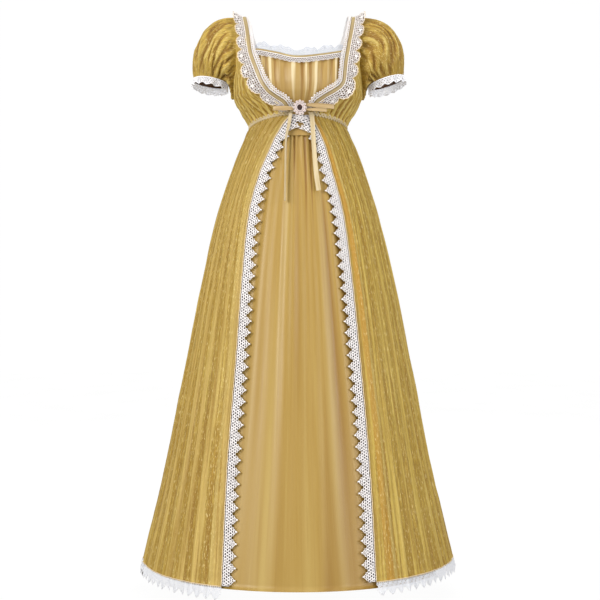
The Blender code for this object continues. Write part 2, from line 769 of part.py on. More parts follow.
def add_waist_braid():
    """Flat braid on the waist seam, in three pieces that stop short of the robe's opening."""
    levels = [WAIST + BRAID_HALF, WAIST, WAIST - BRAID_HALF]
    lift = CLOTH + 0.0007
    margin = 0.15
    for name, start, end, stations in (("right", -90, -9, 13), ("left", 16, 90, 12), ("back", 90, 270, 27)):
        angles = np.radians(np.linspace(start + margin, end - margin, stations))
        add_body_wall(
            f"waist_braid_{name}", GOLD_RIBBON, levels,
            lambda level: angles, lambda c, level: lift, BRAID_THICKNESS,
        )


def add_front_lace(name, side, crossing):
    """Pointed lace sewn on a front edge of the robe. Its points lie over the insert.

    Near its top it stands off by the crossing, where one lace lies over the other."""
    top, bottom = WAIST - BRAID_HALF - 0.001, ROBE_HEM + 0.003
    lift = CLOTH + 0.0012
    stations = 2 * round((top - bottom) / EDGE_LACE_PITCH) + 3
    outer, inner = [], []
    for row in ("sewn edge", "points"):
        outer_row, inner_row = [], []
        for i in range(stations):
            level = top + (bottom - top) * i / (stations - 1)
            edge = opening_angle(side, level)
            width = -EDGE_LACE_OVERLAP
            if row == "points":
                width = EDGE_LACE_BAND + EDGE_LACE_POINT * (i % 2)
            angle = edge - side * width / turn_width(edge, level)
            high = lift + crossing * float(np.interp(top - level, [0.04, 0.09], [1.0, 0.0]))
            outer_row.append(lifted(angle, level, high + LACE))
            inner_row.append(lifted(angle, level, high))
        outer.append(outer_row)
        inner.append(inner_row)
    add_wall(name, outer, inner, WHITE_LACE)


def add_hem_lace(name, ends, folds, flat):
    """Pointed lace hanging from the robe's hem, between two angles."""
    start, end = ends
    shares, heights = fold_places(folds, flat)
    radius = (SECTIONS["half_width"][-1] + SECTIONS["back"][-1]) / 2
    stations = 2 * round(abs(end - start) * radius / HEM_LACE_PITCH) + 1
    outer, inner = [], []
    for row in ("sewn edge", "points"):
        outer_row, inner_row = [], []
        for i in range(stations):
            share = i / (stations - 1)
            angle = start + (end - start) * share
            drop = 2 * SEAM
            if row == "points":
                drop = HEM_LACE_BAND + HEM_LACE_POINT * (i % 2)
            fold = float(np.interp(share, shares, heights)) * OPENING["robe_fold"][-1]
            slope = surface(angle, ROBE_HEM, False) - surface(angle, ROBE_HEM + 0.05, False)
            place = lifted(angle, ROBE_HEM, fold) + slope / np.linalg.norm(slope) * drop
            inner_row.append(place)
            outer_row.append(place + normal(angle, ROBE_HEM) * LACE)
        outer.append(outer_row)
        inner.append(inner_row)
    add_wall(name, outer, inner, WHITE_LACE)


def add_edge_laces():
    add_front_lace("front_lace_right", -1, 0.0030)
    add_front_lace("front_lace_left", 1, 0.0)
    for name, side, front, back in SKIRT_SIDES:
        add_hem_lace(f"hem_lace_{name}", front_panel_ends(side, ROBE_HEM), front, LACED_EDGE)
        add_hem_lace(f"hem_lace_back_{name}", back_panel_ends(side, ROBE_HEM), back, 0)


def add_boss(name, centre, half_width, half_height, profile, finish, sides=20, squareness=2.0):
    """An oval boss facing -Y, with a ring of points for each row of its profile."""
    points, faces = [], []
    for row in profile:
        for i in range(sides):
            turn = i / sides * 2 * math.pi
            across = rounded(math.cos(turn), squareness) * half_width * row["share"]
            up = rounded(math.sin(turn), squareness) * half_height * row["share"]
            points.append((centre[0] + across, centre[1] - row["forward"], centre[2] + up))
    last = len(profile) - 1
    for r in range(last):
        for i in range(sides):
            a, b = r * sides + i, r * sides + (i + 1) % sides
            faces += [(a, b, b + sides), (a, b + sides, a + sides)]
    for ring in (0, last):
        middle = len(points)
        points.append((centre[0], centre[1] - profile["forward"][ring], centre[2]))
        for i in range(sides):
            a, b = ring * sides + i, ring * sides + (i + 1) % sides
            faces.append((a, b, middle) if ring else (b, a, middle))
    add_mesh(name, points, faces, finish)


def add_loop(name, ends, height, depth):
    """A bow loop: a band of ribbon bent round between two points, standing on its edges."""
    start, end = np.array(ends)
    length = np.linalg.norm(end - start)
    along = (end - start) / length
    up = np.array([0.0, 0.0, 1.0])
    up -= along * (up @ along)
    back = np.cross(along, up)
    sides = 18
    walls = []
    for shrink in (0.0, RIBBON):
        grid = []
        for rise in (-height / 2, height / 2):
            ring = []
            for i in range(sides):
                turn = i / sides * 2 * math.pi
                reach = rounded(math.cos(turn), 2.8) * (length / 2 - shrink)
                swing = math.sin(turn) * (depth / 2 - shrink)
                ring.append((start + end) / 2 + along * reach + back * swing + up * rise)
            grid.append(ring)
        walls.append(grid)
    add_wall(name, walls[0], walls[1], GOLD_RIBBON, ring=True)


def add_tail(name, rows):
    """A ribbon tail: a strip through the places of these rows."""
    places = [lifted(angle_at(row["x"], row["level"]), row["level"], row["lift"]) for row in rows]
    widths = np.array([(row["wide_x"], row["wide_y"], row["wide_z"]) for row in rows])
    grid = np.array([places - widths / 2, places + widths / 2])
    half = grid_normals(grid) * RIBBON / 2
    add_wall(name, grid + half, grid - half, GOLD_RIBBON)


def add_bow():
    x, back, z = KNOT_CENTRE
    front = back - KNOT_PROFILE["forward"][-1] - SEAM
    stone_back = front - BROOCH_PROFILE["forward"][-1] - SEAM
    add_boss("bow_knot", KNOT_CENTRE, 0.010, 0.008, KNOT_PROFILE, GOLD_RIBBON, 12, 3.0)
    add_boss("brooch", (x - 0.0015, front, z), 0.0140, 0.0165, BROOCH_PROFILE, BROOCH_METAL)
    add_boss("brooch_stone", (x - 0.0015, stone_back, z), 0.0052, 0.0064, STONE_PROFILE, STONE, 14)
    add_loop("bow_loop_right", LOOP_RIGHT, 0.011, 0.0065)
    add_loop("bow_loop_left", LOOP_LEFT, 0.011, 0.0065)
    add_loop("bow_loop_small", LOOP_SMALL, 0.008, 0.0055)
    add_tail("bow_tail_left", TAIL_LEFT)
    add_tail("bow_tail_right", TAIL_RIGHT)


def main():
    for old in list(bpy.data.objects):
        bpy.data.objects.remove(old)
    for name, side in (("right", -1), ("left", 1)):
        add_bodice(f"bodice_front_{name}", side, True)
        add_bodice(f"bodice_back_{name}", side, False)
        add_sleeve(name, side)
    add_skirts()
    add_insert_bodice()
    add_insert_skirt()
    add_neckline_trims()
    add_neck_trims()
    add_waist_braid()
    add_edge_laces()
    add_bow()


main()
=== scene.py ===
import math

import bpy
import numpy as np
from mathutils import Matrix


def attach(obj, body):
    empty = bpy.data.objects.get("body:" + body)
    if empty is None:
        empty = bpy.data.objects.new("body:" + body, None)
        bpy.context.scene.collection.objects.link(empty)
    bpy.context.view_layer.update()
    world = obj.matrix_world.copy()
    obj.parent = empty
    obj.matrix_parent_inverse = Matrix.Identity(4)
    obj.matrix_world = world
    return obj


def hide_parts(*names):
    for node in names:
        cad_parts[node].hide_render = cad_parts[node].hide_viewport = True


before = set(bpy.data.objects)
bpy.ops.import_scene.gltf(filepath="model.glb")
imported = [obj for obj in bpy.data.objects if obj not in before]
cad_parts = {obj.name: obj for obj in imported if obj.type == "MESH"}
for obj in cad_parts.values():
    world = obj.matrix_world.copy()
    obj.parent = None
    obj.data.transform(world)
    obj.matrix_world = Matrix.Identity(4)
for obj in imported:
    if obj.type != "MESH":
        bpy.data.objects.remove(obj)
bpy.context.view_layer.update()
print("frame loaded with", len(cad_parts), "solids")

# Everything is in metres. The front faces -Y, the wearer's left is +X, and the shoulders are at height 0.
# A place on the gown has an angle, 0 at the centre front and growing to the wearer's left, and a level.

gown = {
    "underarm": -0.200,
    "waist": -0.275,
    "bandTop": -0.3045,
    "bandBottom": -0.3185,
    "insertHem": -1.358,
    "robeHem": -1.3625,
    "hemRiseStart": -1.100,
    "seam": 0.0003,
    "waistRise": 0.023,
    "waistRisePower": 1.5,
    "waistRiseEnd": -0.360,
    "insertDepth": 0.0020,
    "clothRoom": 0.0015,  # thickness that the solids leave for each cloth
}


def columns(names, *rows):
    return np.array(list(rows), dtype=[(name, float) for name in names.split()])


sections = columns(
    "level halfWidth front back squareness",
    (0.000, 0.1960, 0.0003, 0.0003, 2.30),
    (-0.006, 0.1940, 0.024, 0.024, 2.30),
    (-0.020, 0.1900, 0.045, 0.043, 2.30),
    (-0.045, 0.1820, 0.073, 0.066, 2.30),
    (-0.080, 0.1720, 0.101, 0.086, 2.30),
    (-0.100, 0.1680, 0.113, 0.092, 2.30),
    (-0.120, 0.1650, 0.122, 0.096, 2.30),
    (-0.150, 0.1630, 0.131, 0.099, 2.30),
    (-0.175, 0.1610, 0.133, 0.098, 2.30),
    (-0.200, 0.1580, 0.129, 0.096, 2.25),
    (-0.235, 0.1410, 0.115, 0.093, 2.15),
    (-0.275, 0.1190, 0.098, 0.092, 2.05),
    (-0.300, 0.1255, 0.104, 0.101, 2.00),
    (-0.340, 0.1410, 0.116, 0.120, 2.00),
    (-0.400, 0.1620, 0.133, 0.145, 2.00),
    (-0.500, 0.1925, 0.160, 0.178, 2.00),
    (-0.650, 0.2280, 0.192, 0.215, 2.00),
    (-0.850, 0.2680, 0.229, 0.255, 2.00),
    (-1.100, 0.3170, 0.273, 0.303, 2.00),
    (-1.3625, 0.3765, 0.322, 0.352, 2.00),
)
neckEdges = columns(
    "level right left armhole",
    (0.000, 0.1300, 0.1345, 0.158),
    (-0.006, 0.1285, 0.1335, 0.157),
    (-0.020, 0.1250, 0.1310, 0.155),
    (-0.045, 0.1200, 0.1265, 0.153),
    (-0.080, 0.1150, 0.1195, 0.151),
    (-0.100, 0.1120, 0.1160, 0.150),
    (-0.120, 0.1060, 0.1125, 0.150),
    (-0.150, 0.0950, 0.1090, 0.1525),
    (-0.175, 0.0850, 0.1062, 0.157),
    (-0.1875, 0.0775, 0.0985, 0.158),
    (-0.1935, 0.0730, 0.0905, 0.158),
    (-0.200, 0.0680, 0.0810, 0.158),
    (-0.2085, 0.0595, 0.0695, 0.158),
    (-0.2175, 0.0500, 0.0590, 0.158),
    (-0.235, 0.0310, 0.0420, 0.158),
    (-0.275, 0.0130, 0.0280, 0.158),
)
backNeck = columns(
    "level halfWidth",
    (0.000, 0.1320),
    (-0.006, 0.1300),
    (-0.020, 0.1260),
    (-0.045, 0.1190),
    (-0.080, 0.1020),
    (-0.100, 0.0780),
    (-0.107, 0.0620),
    (-0.112, 0.0450),
    (-0.116, 0.0270),
    (-0.118, 0.0120),
    (-0.120, 0.0002),
)
opening = columns(
    "level right left robeFold insertFold",
    (-0.275, 0.0130, 0.0280, 0.0000, 0.0000),
    (-0.300, 0.0375, 0.0445, 0.0030, 0.0000),
    (-0.340, 0.0650, 0.0655, 0.0060, 0.0030),
    (-0.400, 0.0912, 0.0827, 0.0080, 0.0045),
    (-0.500, 0.1165, 0.1073, 0.0090, 0.0060),
    (-0.650, 0.1310, 0.1265, 0.0100, 0.0065),
    (-0.850, 0.1442, 0.1452, 0.0110, 0.0060),
    (-1.100, 0.1622, 0.1652, 0.0110, 0.0050),
    (-1.3625, 0.1720, 0.1770, 0.0100, 0.0030),
)
necklineHeights = columns(
    "angle height",
    (-50, -0.0980), (-35, -0.0995), (-16, -0.1108), (0, -0.1223), (17, -0.1160), (40, -0.1034), (50, -0.1000),
)
hemRises = columns(
    "angle height",
    (-180, 0), (-90, 0.0140), (-50, 0.0085), (-30, 0.0080), (30, 0.0175), (90, 0.0210), (180, 0),
)


# Curves and noise

def smoothAt(x, xs, ys):  # a smooth curve through the points that never swings past them
    steps = np.diff(xs)
    slopes = np.diff(ys) / steps
    bends = np.zeros(len(xs))
    before, after = 2 * steps[1:] + steps[:-1], steps[1:] + 2 * steps[:-1]
    same = slopes[:-1] * slopes[1:] > 0
    safe = np.where(same, slopes[:-1], 1), np.where(same, slopes[1:], 1)
    bends[1:-1] = np.where(same, (before + after) / (before / safe[0] + after / safe[1]), 0)
    bends[0], bends[-1] = slopes[0], slopes[-1]
    x = np.clip(x, xs[0], xs[-1])
    i = np.clip(np.searchsorted(xs, x, side="right") - 1, 0, len(xs) - 2)
    t = (x - xs[i]) / steps[i]
    start = (1 + 2 * t) * (1 - t) ** 2 * ys[i] + t * (1 - t) ** 2 * steps[i] * bends[i]
    return start + t * t * (3 - 2 * t) * ys[i + 1] + t * t * (t - 1) * steps[i] * bends[i + 1]


def byLevel(rows, level, column):
    return smoothAt(-np.asarray(level, float), -rows["level"], rows[column])


def byAngle(rows, angle):
    return smoothAt(np.degrees(angle), rows["angle"], rows["height"])


def turns(count):  # angles evenly round a circle
    return np.arange(count) / count * 2 * math.pi


def spread(across, down):  # a grid of places on flat cloth
    return np.stack(np.broadcast_arrays(across, down), -1)


def ramp(x, low, high):  # 0 below low, 1 above high, and smooth between
    t = np.clip((x - low) / (high - low), 0, 1)
    return t * t * (3 - 2 * t)


def creases(u, v, seed, pitch, length, count=7):  # long uneven wrinkles across u that wander along v
    draw = np.random.default_rng(seed)
    total = 0
    for _ in range(count):
        p = pitch * draw.uniform(0.65, 1.6)
        a, b, c = draw.uniform(0, 2 * math.pi, 3)
        wander = 0.9 * np.sin(2 * math.pi * v / (length * draw.uniform(0.7, 1.5)) + b)
        grow = 0.6 + 0.4 * np.sin(2 * math.pi * v / (length * draw.uniform(0.5, 1.1)) + c)
        total = total + grow * np.sin(2 * math.pi * u / p + a + wander)
    return total / math.sqrt(count)


def unit(v):
    return v / np.maximum(np.linalg.norm(v, axis=-1, keepdims=True), 1e-12)


# The gown's main surface

def rounded(value, squareness):
    return np.sign(value) * np.abs(value) ** (2 / squareness)


def gownPoint(angle, level, hem=True):
    angle, level = np.broadcast_arrays(np.asarray(angle, float), np.asarray(level, float))
    sine, cosine = np.sin(angle), np.cos(angle)
    squareness = byLevel(sections, level, "squareness")
    deep = np.where(cosine > 0, byLevel(sections, level, "front"), byLevel(sections, level, "back"))
    corners = [-gown["underarm"], -gown["waist"], -gown["waistRiseEnd"]]
    nearWaist = np.interp(-level, corners, [0, 1, 0])
    rise = gown["waistRise"] * np.maximum(0, cosine) ** gown["waistRisePower"] * nearWaist
    if hem:
        nearHem = np.clip((gown["hemRiseStart"] - level) / (gown["hemRiseStart"] - gown["robeHem"]), 0, None)
        rise = rise + byAngle(hemRises, np.arctan2(sine, cosine)) * nearHem
    x = byLevel(sections, level, "halfWidth") * rounded(sine, squareness)
    return np.stack([x, -deep * rounded(cosine, squareness), level + rise], -1)


def gownNormal(angle, level):
    turn, step = 0.02, 0.003
    across = gownPoint(angle + turn, level, False) - gownPoint(angle - turn, level, False)
    level = np.asarray(level, float)
    upper = gownPoint(angle, np.minimum(0.0, level + step), False)
    lower = gownPoint(angle, np.maximum(gown["robeHem"], level - step), False)
    away = unit(np.cross(across, upper - lower))
    flat = ramp(level, -0.004, 0.0)[..., None]
    return unit(away * (1 - flat) + np.array([0.0, 0.0, 1.0]) * flat)


def lifted(angle, level, lift, hem=True):
    return gownPoint(angle, level, hem) + np.asarray(lift)[..., None] * gownNormal(angle, level)


def angleAt(x, level):
    share = np.minimum(1.0, np.abs(x) / byLevel(sections, level, "halfWidth"))
    return np.sign(x) * np.arcsin(share ** (byLevel(sections, level, "squareness") / 2))


def seamTurn(level):
    return gown["seam"] / 2 / byLevel(sections, level, "halfWidth")


def openingAngle(side, level):
    return angleAt(side * byLevel(opening, level, "left" if side > 0 else "right"), level)


# Meshes

def makeObject(name, points, faces, material, uv=None, shade=None):
    points = np.asarray(points, float).reshape(-1, 3)
    faces = [np.asarray(part, int) for part in faces if len(part)]
    volume = 0
    for part in faces:  # turned so that the faces point out
        for k in range(1, part.shape[1] - 1):
            volume += np.linalg.det(points[part[:, [0, k, k + 1]]] - points.mean(axis=0)).sum()
    if volume < 0:
        faces = [part[:, ::-1] for part in faces]
        uv = None if uv is None else [part[:, ::-1] for part in uv]
    mesh = bpy.data.meshes.new(name)
    mesh.vertices.add(len(points))
    mesh.vertices.foreach_set("co", points.ravel())
    corners = np.concatenate([part.ravel() for part in faces])
    sizes = np.concatenate([np.full(len(part), part.shape[1]) for part in faces])
    mesh.loops.add(len(corners))
    mesh.loops.foreach_set("vertex_index", corners)
    mesh.polygons.add(len(sizes))
    mesh.polygons.foreach_set("loop_start", np.concatenate([[0], np.cumsum(sizes)[:-1]]))
    if uv is not None:
        layer = mesh.uv_layers.new(name="UVMap")
        layer.uv.foreach_set("vector", np.concatenate([part.reshape(-1, 2) for part in uv]).ravel())
    if shade is not None:
        mesh.attributes.new("fold", "FLOAT", "POINT").data.foreach_set("value", shade)
    mesh.update(calc_edges=True)
    mesh.validate()
    mesh.shade_smooth()
    mesh.materials.append(material)
    piece = bpy.data.objects.new(name, mesh)
    bpy.context.scene.collection.objects.link(piece)
    return piece


def gridNormals(grid, ring=False):
    across = np.roll(grid, -1, 1) - np.roll(grid, 1, 1)
    if not ring:
        across[:, 0] = grid[:, 1] - grid[:, 0]
        across[:, -1] = grid[:, -1] - grid[:, -2]
    return unit(np.cross(across, np.gradient(grid, axis=0)))


# A closed sheet of cloth on a grid of points
def wall(name, grid, thickness, material, uv, away=None, ring=False, shade=None):
    normals = gridNormals(grid, ring)
    away = grid - grid.mean(axis=(0, 1)) if away is None else away
    if (normals * away).sum() < 0:
        normals = -normals
    rows, count = grid.shape[:2]
    spans = count if ring else count - 1
    stride = count + 1 if ring else count
    r, c = np.arange(rows - 1)[:, None], np.arange(spans)[None, :]
    after = (c + 1) % count
    total = rows * count

    def quads(column, width):
        above, below = r * width, (r + 1) * width
        return np.stack([above + c, above + column, below + column, below + c], -1).reshape(-1, 4)

    front, mapped = quads(after, count), quads(c + 1, stride)
    faces, places = [front, front[:, ::-1] + total], [mapped, mapped[:, ::-1]]
    for row in (0, rows - 1):
        a, b = row * count + np.arange(spans), row * count + (np.arange(spans) + 1) % count
        flipped = slice(None, None, 1 if row else -1)
        faces.append(np.stack([a, b, b + total, a + total], -1)[:, flipped][:, ::-1])
        m = row * stride + np.arange(spans)
        places.append(np.stack([m, m + 1, m + 1, m], -1)[:, flipped][:, ::-1])
    if not ring:
        for column in (0, count - 1):
            a = np.arange(rows - 1) * count + column
            flipped = slice(None, None, -1 if column else 1)
            faces.append(np.stack([a, a + count, a + count + total, a + total], -1)[:, flipped][:, ::-1])
            places.append(np.stack([a, a + count, a + count, a], -1)[:, flipped][:, ::-1])
    flat = uv.reshape(-1, 2)
    points = np.concatenate([(grid + normals * thickness).reshape(-1, 3), grid.reshape(-1, 3)])
    shade = None if shade is None else np.tile(np.broadcast_to(shade, grid.shape[:2]).ravel(), 2)
    return makeObject(name, points, faces, material, [flat[part] for part in places], shade)


def foldShade(lift, reach, depth, ring=False):  # 0 deep in a fold, 1 on its crest
    pad = np.pad(lift, ((0, 0), (reach, reach)), mode="wrap" if ring else "edge")
    total = np.cumsum(np.pad(pad, ((0, 0), (1, 0))), axis=1)
    local = (total[:, 2 * reach + 1:] - total[:, :-2 * reach - 1]) / (2 * reach + 1)
    return np.clip(0.5 + (lift - local) / (2 * depth), 0, 1)


def rowLengths(grid):
    return np.linalg.norm(np.diff(grid, axis=1), axis=2).sum(axis=1)


def flatMap(grid, width=None):  # places on the flat cloth: across its widest row, and down its middle
    widest = rowLengths(grid).max() if width is None else width
    middle = grid[:, grid.shape[1] // 2]
    down = np.concatenate([[0], np.cumsum(np.linalg.norm(np.diff(middle, axis=0), axis=1))])
    across = np.linspace(0, widest, grid.shape[1])
    return spread(across[None, :], down[:, None])


def place(piece, slot, *nodes):
    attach(piece, "root")
    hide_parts(*nodes)
    return piece


def sewn(node, slot, grid, thickness, material, uv=None, **rest):  # a cloth in the place of its solid
    uv = flatMap(grid) if uv is None else uv
    return place(wall(node + "_cloth", grid, thickness, material, uv, **rest), slot, node)


# Materials

def paint(red, green, blue):  # a colour as a screen shows it
    given = (value / 255 for value in (red, green, blue))
    return tuple(((c + 0.055) / 1.055) ** 2.4 if c > 0.04 else c / 12.92 for c in given) + (1.0,)


class Nodes:
    def __init__(self, name):
        self.material = bpy.data.materials.new(name)
        self.material.use_nodes = True
        self.tree = self.material.node_tree
        self.shader = self.tree.nodes["Principled BSDF"]
        self.uv = self.add("ShaderNodeUVMap", uv_map="UVMap").outputs["UV"]
        self.spot = self.add("ShaderNodeNewGeometry").outputs["Position"]
        # painted shade and highlight of the folds, 0 deep in a fold and 1 on its crest
        self.fold = self.add("ShaderNodeAttribute", attribute_name="fold").outputs["Fac"]

    def add(self, kind, **settings):
        node = self.tree.nodes.new(kind)
        for name, value in settings.items():
            setattr(node, name, value)
        return node

    def feed(self, socket, value):
        if isinstance(value, bpy.types.NodeSocket):
            self.tree.links.new(value, socket)
        else:
            socket.default_value = value

    def math(self, operation, first, second=0.0):
        node = self.add("ShaderNodeMath", operation=operation)
        self.feed(node.inputs[0], first)
        self.feed(node.inputs[1], second)
        return node.outputs[0]

    def split(self, vector):
        node = self.add("ShaderNodeSeparateXYZ")
        self.feed(node.inputs[0], vector)
        return node.outputs

    def stretch(self, vector, x, y):
        node = self.add("ShaderNodeMapping")
        self.feed(node.inputs["Vector"], vector)
        node.inputs["Scale"].default_value = (x, y, 1.0)
        return node.outputs[0]

    def noise(self, vector, scale, detail=2.0, roughness=0.5):
        node = self.add("ShaderNodeTexNoise")
        self.feed(node.inputs["Vector"], vector)
        for name, given in (("Scale", scale), ("Detail", detail), ("Roughness", roughness)):
            node.inputs[name].default_value = given
        return node.outputs["Fac"]

    def remap(self, value, low, high, start=0.0, end=1.0):
        node = self.add("ShaderNodeMapRange", interpolation_type="SMOOTHSTEP")
        self.feed(node.inputs["Value"], value)
        for name, given in (("From Min", low), ("From Max", high), ("To Min", start), ("To Max", end)):
            node.inputs[name].default_value = given
        return node.outputs[0]

    def mix(self, factor, first, second, blend="MIX"):
        node = self.add("ShaderNodeMix", data_type="RGBA", blend_type=blend)
        self.feed(node.inputs["Factor"], factor)
        self.feed(node.inputs[6], first)
        self.feed(node.inputs[7], second)
        return node.outputs[2]

    def bump(self, height, strength, distance, over=None):
        node = self.add("ShaderNodeBump")
        self.feed(node.inputs["Height"], height)
        node.inputs["Strength"].default_value = strength
        node.inputs["Distance"].default_value = distance
        if over is not None:
            self.feed(node.inputs["Normal"], over)
        return node.outputs[0]

    def layered(self, colour, rows):  # pattern, its range, the most it covers, colour, and what holds it back
        for pattern, low, high, most, tint, *held in rows:
            share = self.remap(pattern, low, high, 0.0, most)
            for by in held:
                share = self.math("MULTIPLY", share, by)
            colour = self.mix(share, colour, tint)
        return colour

    def toned(self, colour):  # the lights are strong enough to show the lace white, so the cloth is darker
        return self.mix(1.0, colour, (0.84, 0.84, 0.84, 1.0), "MULTIPLY")

    def finish(self, **inputs):
        for name, value in inputs.items():
            self.feed(self.shader.inputs[name], value)
        return self.material


# Crinkled sheer stripe with metallic threads
def stripedCloth(name, light, dark, contrast, folds, edge=None):
    look = {"pitch": 0.052, "lightShare": 0.42, "softness": 0.07}
    n = Nodes(name)
    u, v, _ = n.split(n.uv)
    wander = n.math("MULTIPLY", n.math("SUBTRACT", n.noise(n.stretch(n.uv, 13, 1.6), 1.0), 0.5), 0.050)
    at = n.math("FRACT", n.math("DIVIDE", n.math("ADD", u, wander), look["pitch"]))
    rising = n.remap(at, 0.0, look["softness"])
    falling = n.remap(at, look["lightShare"], look["lightShare"] + look["softness"], 1.0, 0.0)
    fading = n.remap(n.noise(n.stretch(n.uv, 14, 2.2), 1.0), 0.34, 0.54, 0.70, 1.0)
    band = n.math("MULTIPLY", n.math("MULTIPLY", rising, falling), n.math("MULTIPLY", fading, contrast))
    strokes = n.noise(n.stretch(n.uv, 340, 34), 1.0, 2.0, 0.6)
    crinkle = n.noise(n.stretch(n.uv, 260, 16), 1.0, 3.0, 0.65)
    streaks = n.noise(n.stretch(n.uv, 95, 2.5), 1.0, 3.0, 0.6)
    lines = n.noise(n.stretch(n.uv, 230, 2.4), 1.0, 2.0, 0.5)
    weave = n.noise(n.stretch(n.uv, 1000, 240), 1.0, 1.0)
    specks = n.noise(n.stretch(n.uv, 430, 80), 1.0, 2.0, 0.6)
    calm = n.math("SUBTRACT", 1.0, n.math("MULTIPLY", band, 0.75))
    sparkle = n.math("MULTIPLY", n.remap(specks, 0.57, 0.67), calm)
    colour = n.layered(n.mix(band, paint(*dark), paint(*light)), (
        (strokes, 0.50, 0.38, 0.80, paint(138, 106, 30), calm),
        (strokes, 0.54, 0.64, 0.70, paint(216, 190, 98), calm),
        (streaks, 0.52, 0.38, 0.50, paint(158, 118, 30)),
        (streaks, 0.54, 0.66, 0.45, paint(210, 184, 94)),
        (lines, 0.44, 0.34, 0.70, paint(148, 112, 34)),
        (lines, 0.57, 0.66, 0.60, paint(220, 194, 110)),
        # painted shade: darker in the hollows of the crinkle bump
        (crinkle, 0.62, 0.35, 0.50, paint(146, 110, 32), calm),
        # painted shade: darker deep in the folds; painted highlight: lighter on the fold crests
        (n.fold, 0.45, 0.0, folds["valley"], paint(140, 96, 22)),
        (n.fold, 0.60, 1.0, folds["crest"], paint(222, 198, 116)),
        (specks, 0.44, 0.33, 0.60, paint(132, 100, 34), calm),
        (weave, 0.40, 0.66, 0.25, paint(212, 186, 94)),
        (n.noise(n.spot, 4.0), 0.4, 0.7, 0.2, paint(194, 164, 74)),
    ))
    if edge:
        at = n.math("ADD", u, n.math("MULTIPLY", v, -edge["drift"]))  # the strip leaves the edge lower down
        inside = n.remap(at, edge["start"], edge["start"] + 0.003)
        strip = n.math("MULTIPLY", inside, n.remap(at, edge["end"], edge["end"] + 0.004, 1.0, 0.0))
        faded = n.remap(v, edge["fade"], edge["fade"] + 0.4, 0.75, edge["least"])
        colour = n.mix(n.math("MULTIPLY", strip, faded), colour, edge["colour"])
        beside = n.math("MULTIPLY", n.remap(at, edge["end"] + 0.002, edge["end"] + 0.005),
                        n.remap(at, edge["end"] + 0.011, edge["end"] + 0.015, 1.0, 0.0))
        colour = n.mix(n.math("MULTIPLY", beside, 0.5), colour, paint(208, 182, 108))
    colour = n.mix(n.math("MULTIPLY", sparkle, 0.75), colour, threadColour)
    relief = n.bump(crinkle, 0.7, 0.0020)
    relief = n.bump(n.math("MULTIPLY", weave, calm), 0.5, 0.0007, relief)
    return n.finish(**{
        "Base Color": n.toned(colour), "Roughness": 0.62, "Metallic": n.math("MULTIPLY", sparkle, 0.3),
        "Specular IOR Level": 0.35, "Normal": relief,
        "Sheen Weight": 0.03, "Sheen Roughness": 0.4, "Sheen Tint": paint(255, 228, 160),
    })


def satinCloth(name, base, light, shade, valley=0.0, crest=0.0):
    n = Nodes(name)
    base, light, shade = paint(*base), paint(*light), paint(*shade)
    long = n.noise(n.stretch(n.uv, 17, 0.6), 1.0, 2.0, 0.5)
    narrow = n.noise(n.stretch(n.uv, 100, 2.0), 1.0, 2.0, 0.55)
    fine = n.noise(n.stretch(n.uv, 420, 9), 1.0, 2.0, 0.6)
    threads = n.noise(n.stretch(n.uv, 90, 2600), 1.0, 1.0)
    # painted sheen: long and narrow bands of light and shade colour laid by noise, lighter on the fine bump's
    # rises
    colour = n.layered(base, (
        (long, 0.50, 0.70, 0.9, light),
        (long, 0.47, 0.30, 0.8, shade),
        (narrow, 0.48, 0.30, 0.35, shade),
        (narrow, 0.54, 0.72, 0.3, light),
        (fine, 0.35, 0.75, 0.12, light),
        # painted shade: darker deep in the folds; painted highlight: lighter on the fold crests
        (n.fold, 0.40, 0.0, valley, paint(138, 94, 20)),
        (n.fold, 0.70, 0.95, crest, paint(238, 220, 176)),
    ))
    height = n.math("ADD", n.math("MULTIPLY", fine, 0.5), n.math("MULTIPLY", threads, 0.12))
    relief = n.bump(height, 0.35, 0.0008)
    return n.finish(**{
        "Base Color": n.toned(colour), "Roughness": n.remap(fine, 0.2, 0.8, 0.38, 0.50), "Normal": relief,
        "Sheen Weight": 0.05, "Sheen Roughness": 0.35, "Sheen Tint": paint(255, 235, 190),
    })


def threadLook(name, base, shade, roughness=0.8, glow=0.0):
    n = Nodes(name)
    base, shade = paint(*base), paint(*shade)
    twist = n.noise(n.spot, 900, 2.0, 0.6)
    colour = n.layered(base, ((twist, 0.3, 0.7, 0.5, shade), (n.noise(n.spot, 24), 0.4, 0.75, 0.25, shade)))
    relief = n.bump(twist, 0.4, 0.0004)
    finished = {"Base Color": colour, "Roughness": roughness, "Normal": relief}
    if glow:  # painted glow that stands in for light coming through the threads from behind
        finished.update({"Emission Color": colour, "Emission Strength": glow})
    return n.finish(**finished, **{"Sheen Weight": 0.25, "Sheen Roughness": 0.5})


def ribbonLook(name, base, shade):
    n = Nodes(name)
    base, shade = paint(*base), paint(*shade)
    colour = n.layered(base, ((n.noise(n.stretch(n.uv, 160, 12), 1.0), 0.35, 0.7, 0.8, shade),))
    relief = n.bump(n.noise(n.stretch(n.uv, 60, 1900), 1.0, 1.0), 0.3, 0.0005)
    look = {"Base Color": n.toned(colour), "Roughness": 0.38, "Normal": relief, "Sheen Weight": 0.1}
    return n.finish(**look)


threadColour = paint(236, 214, 148)
lightStripe, darkStripe = (209, 177, 101), (175, 136, 40)
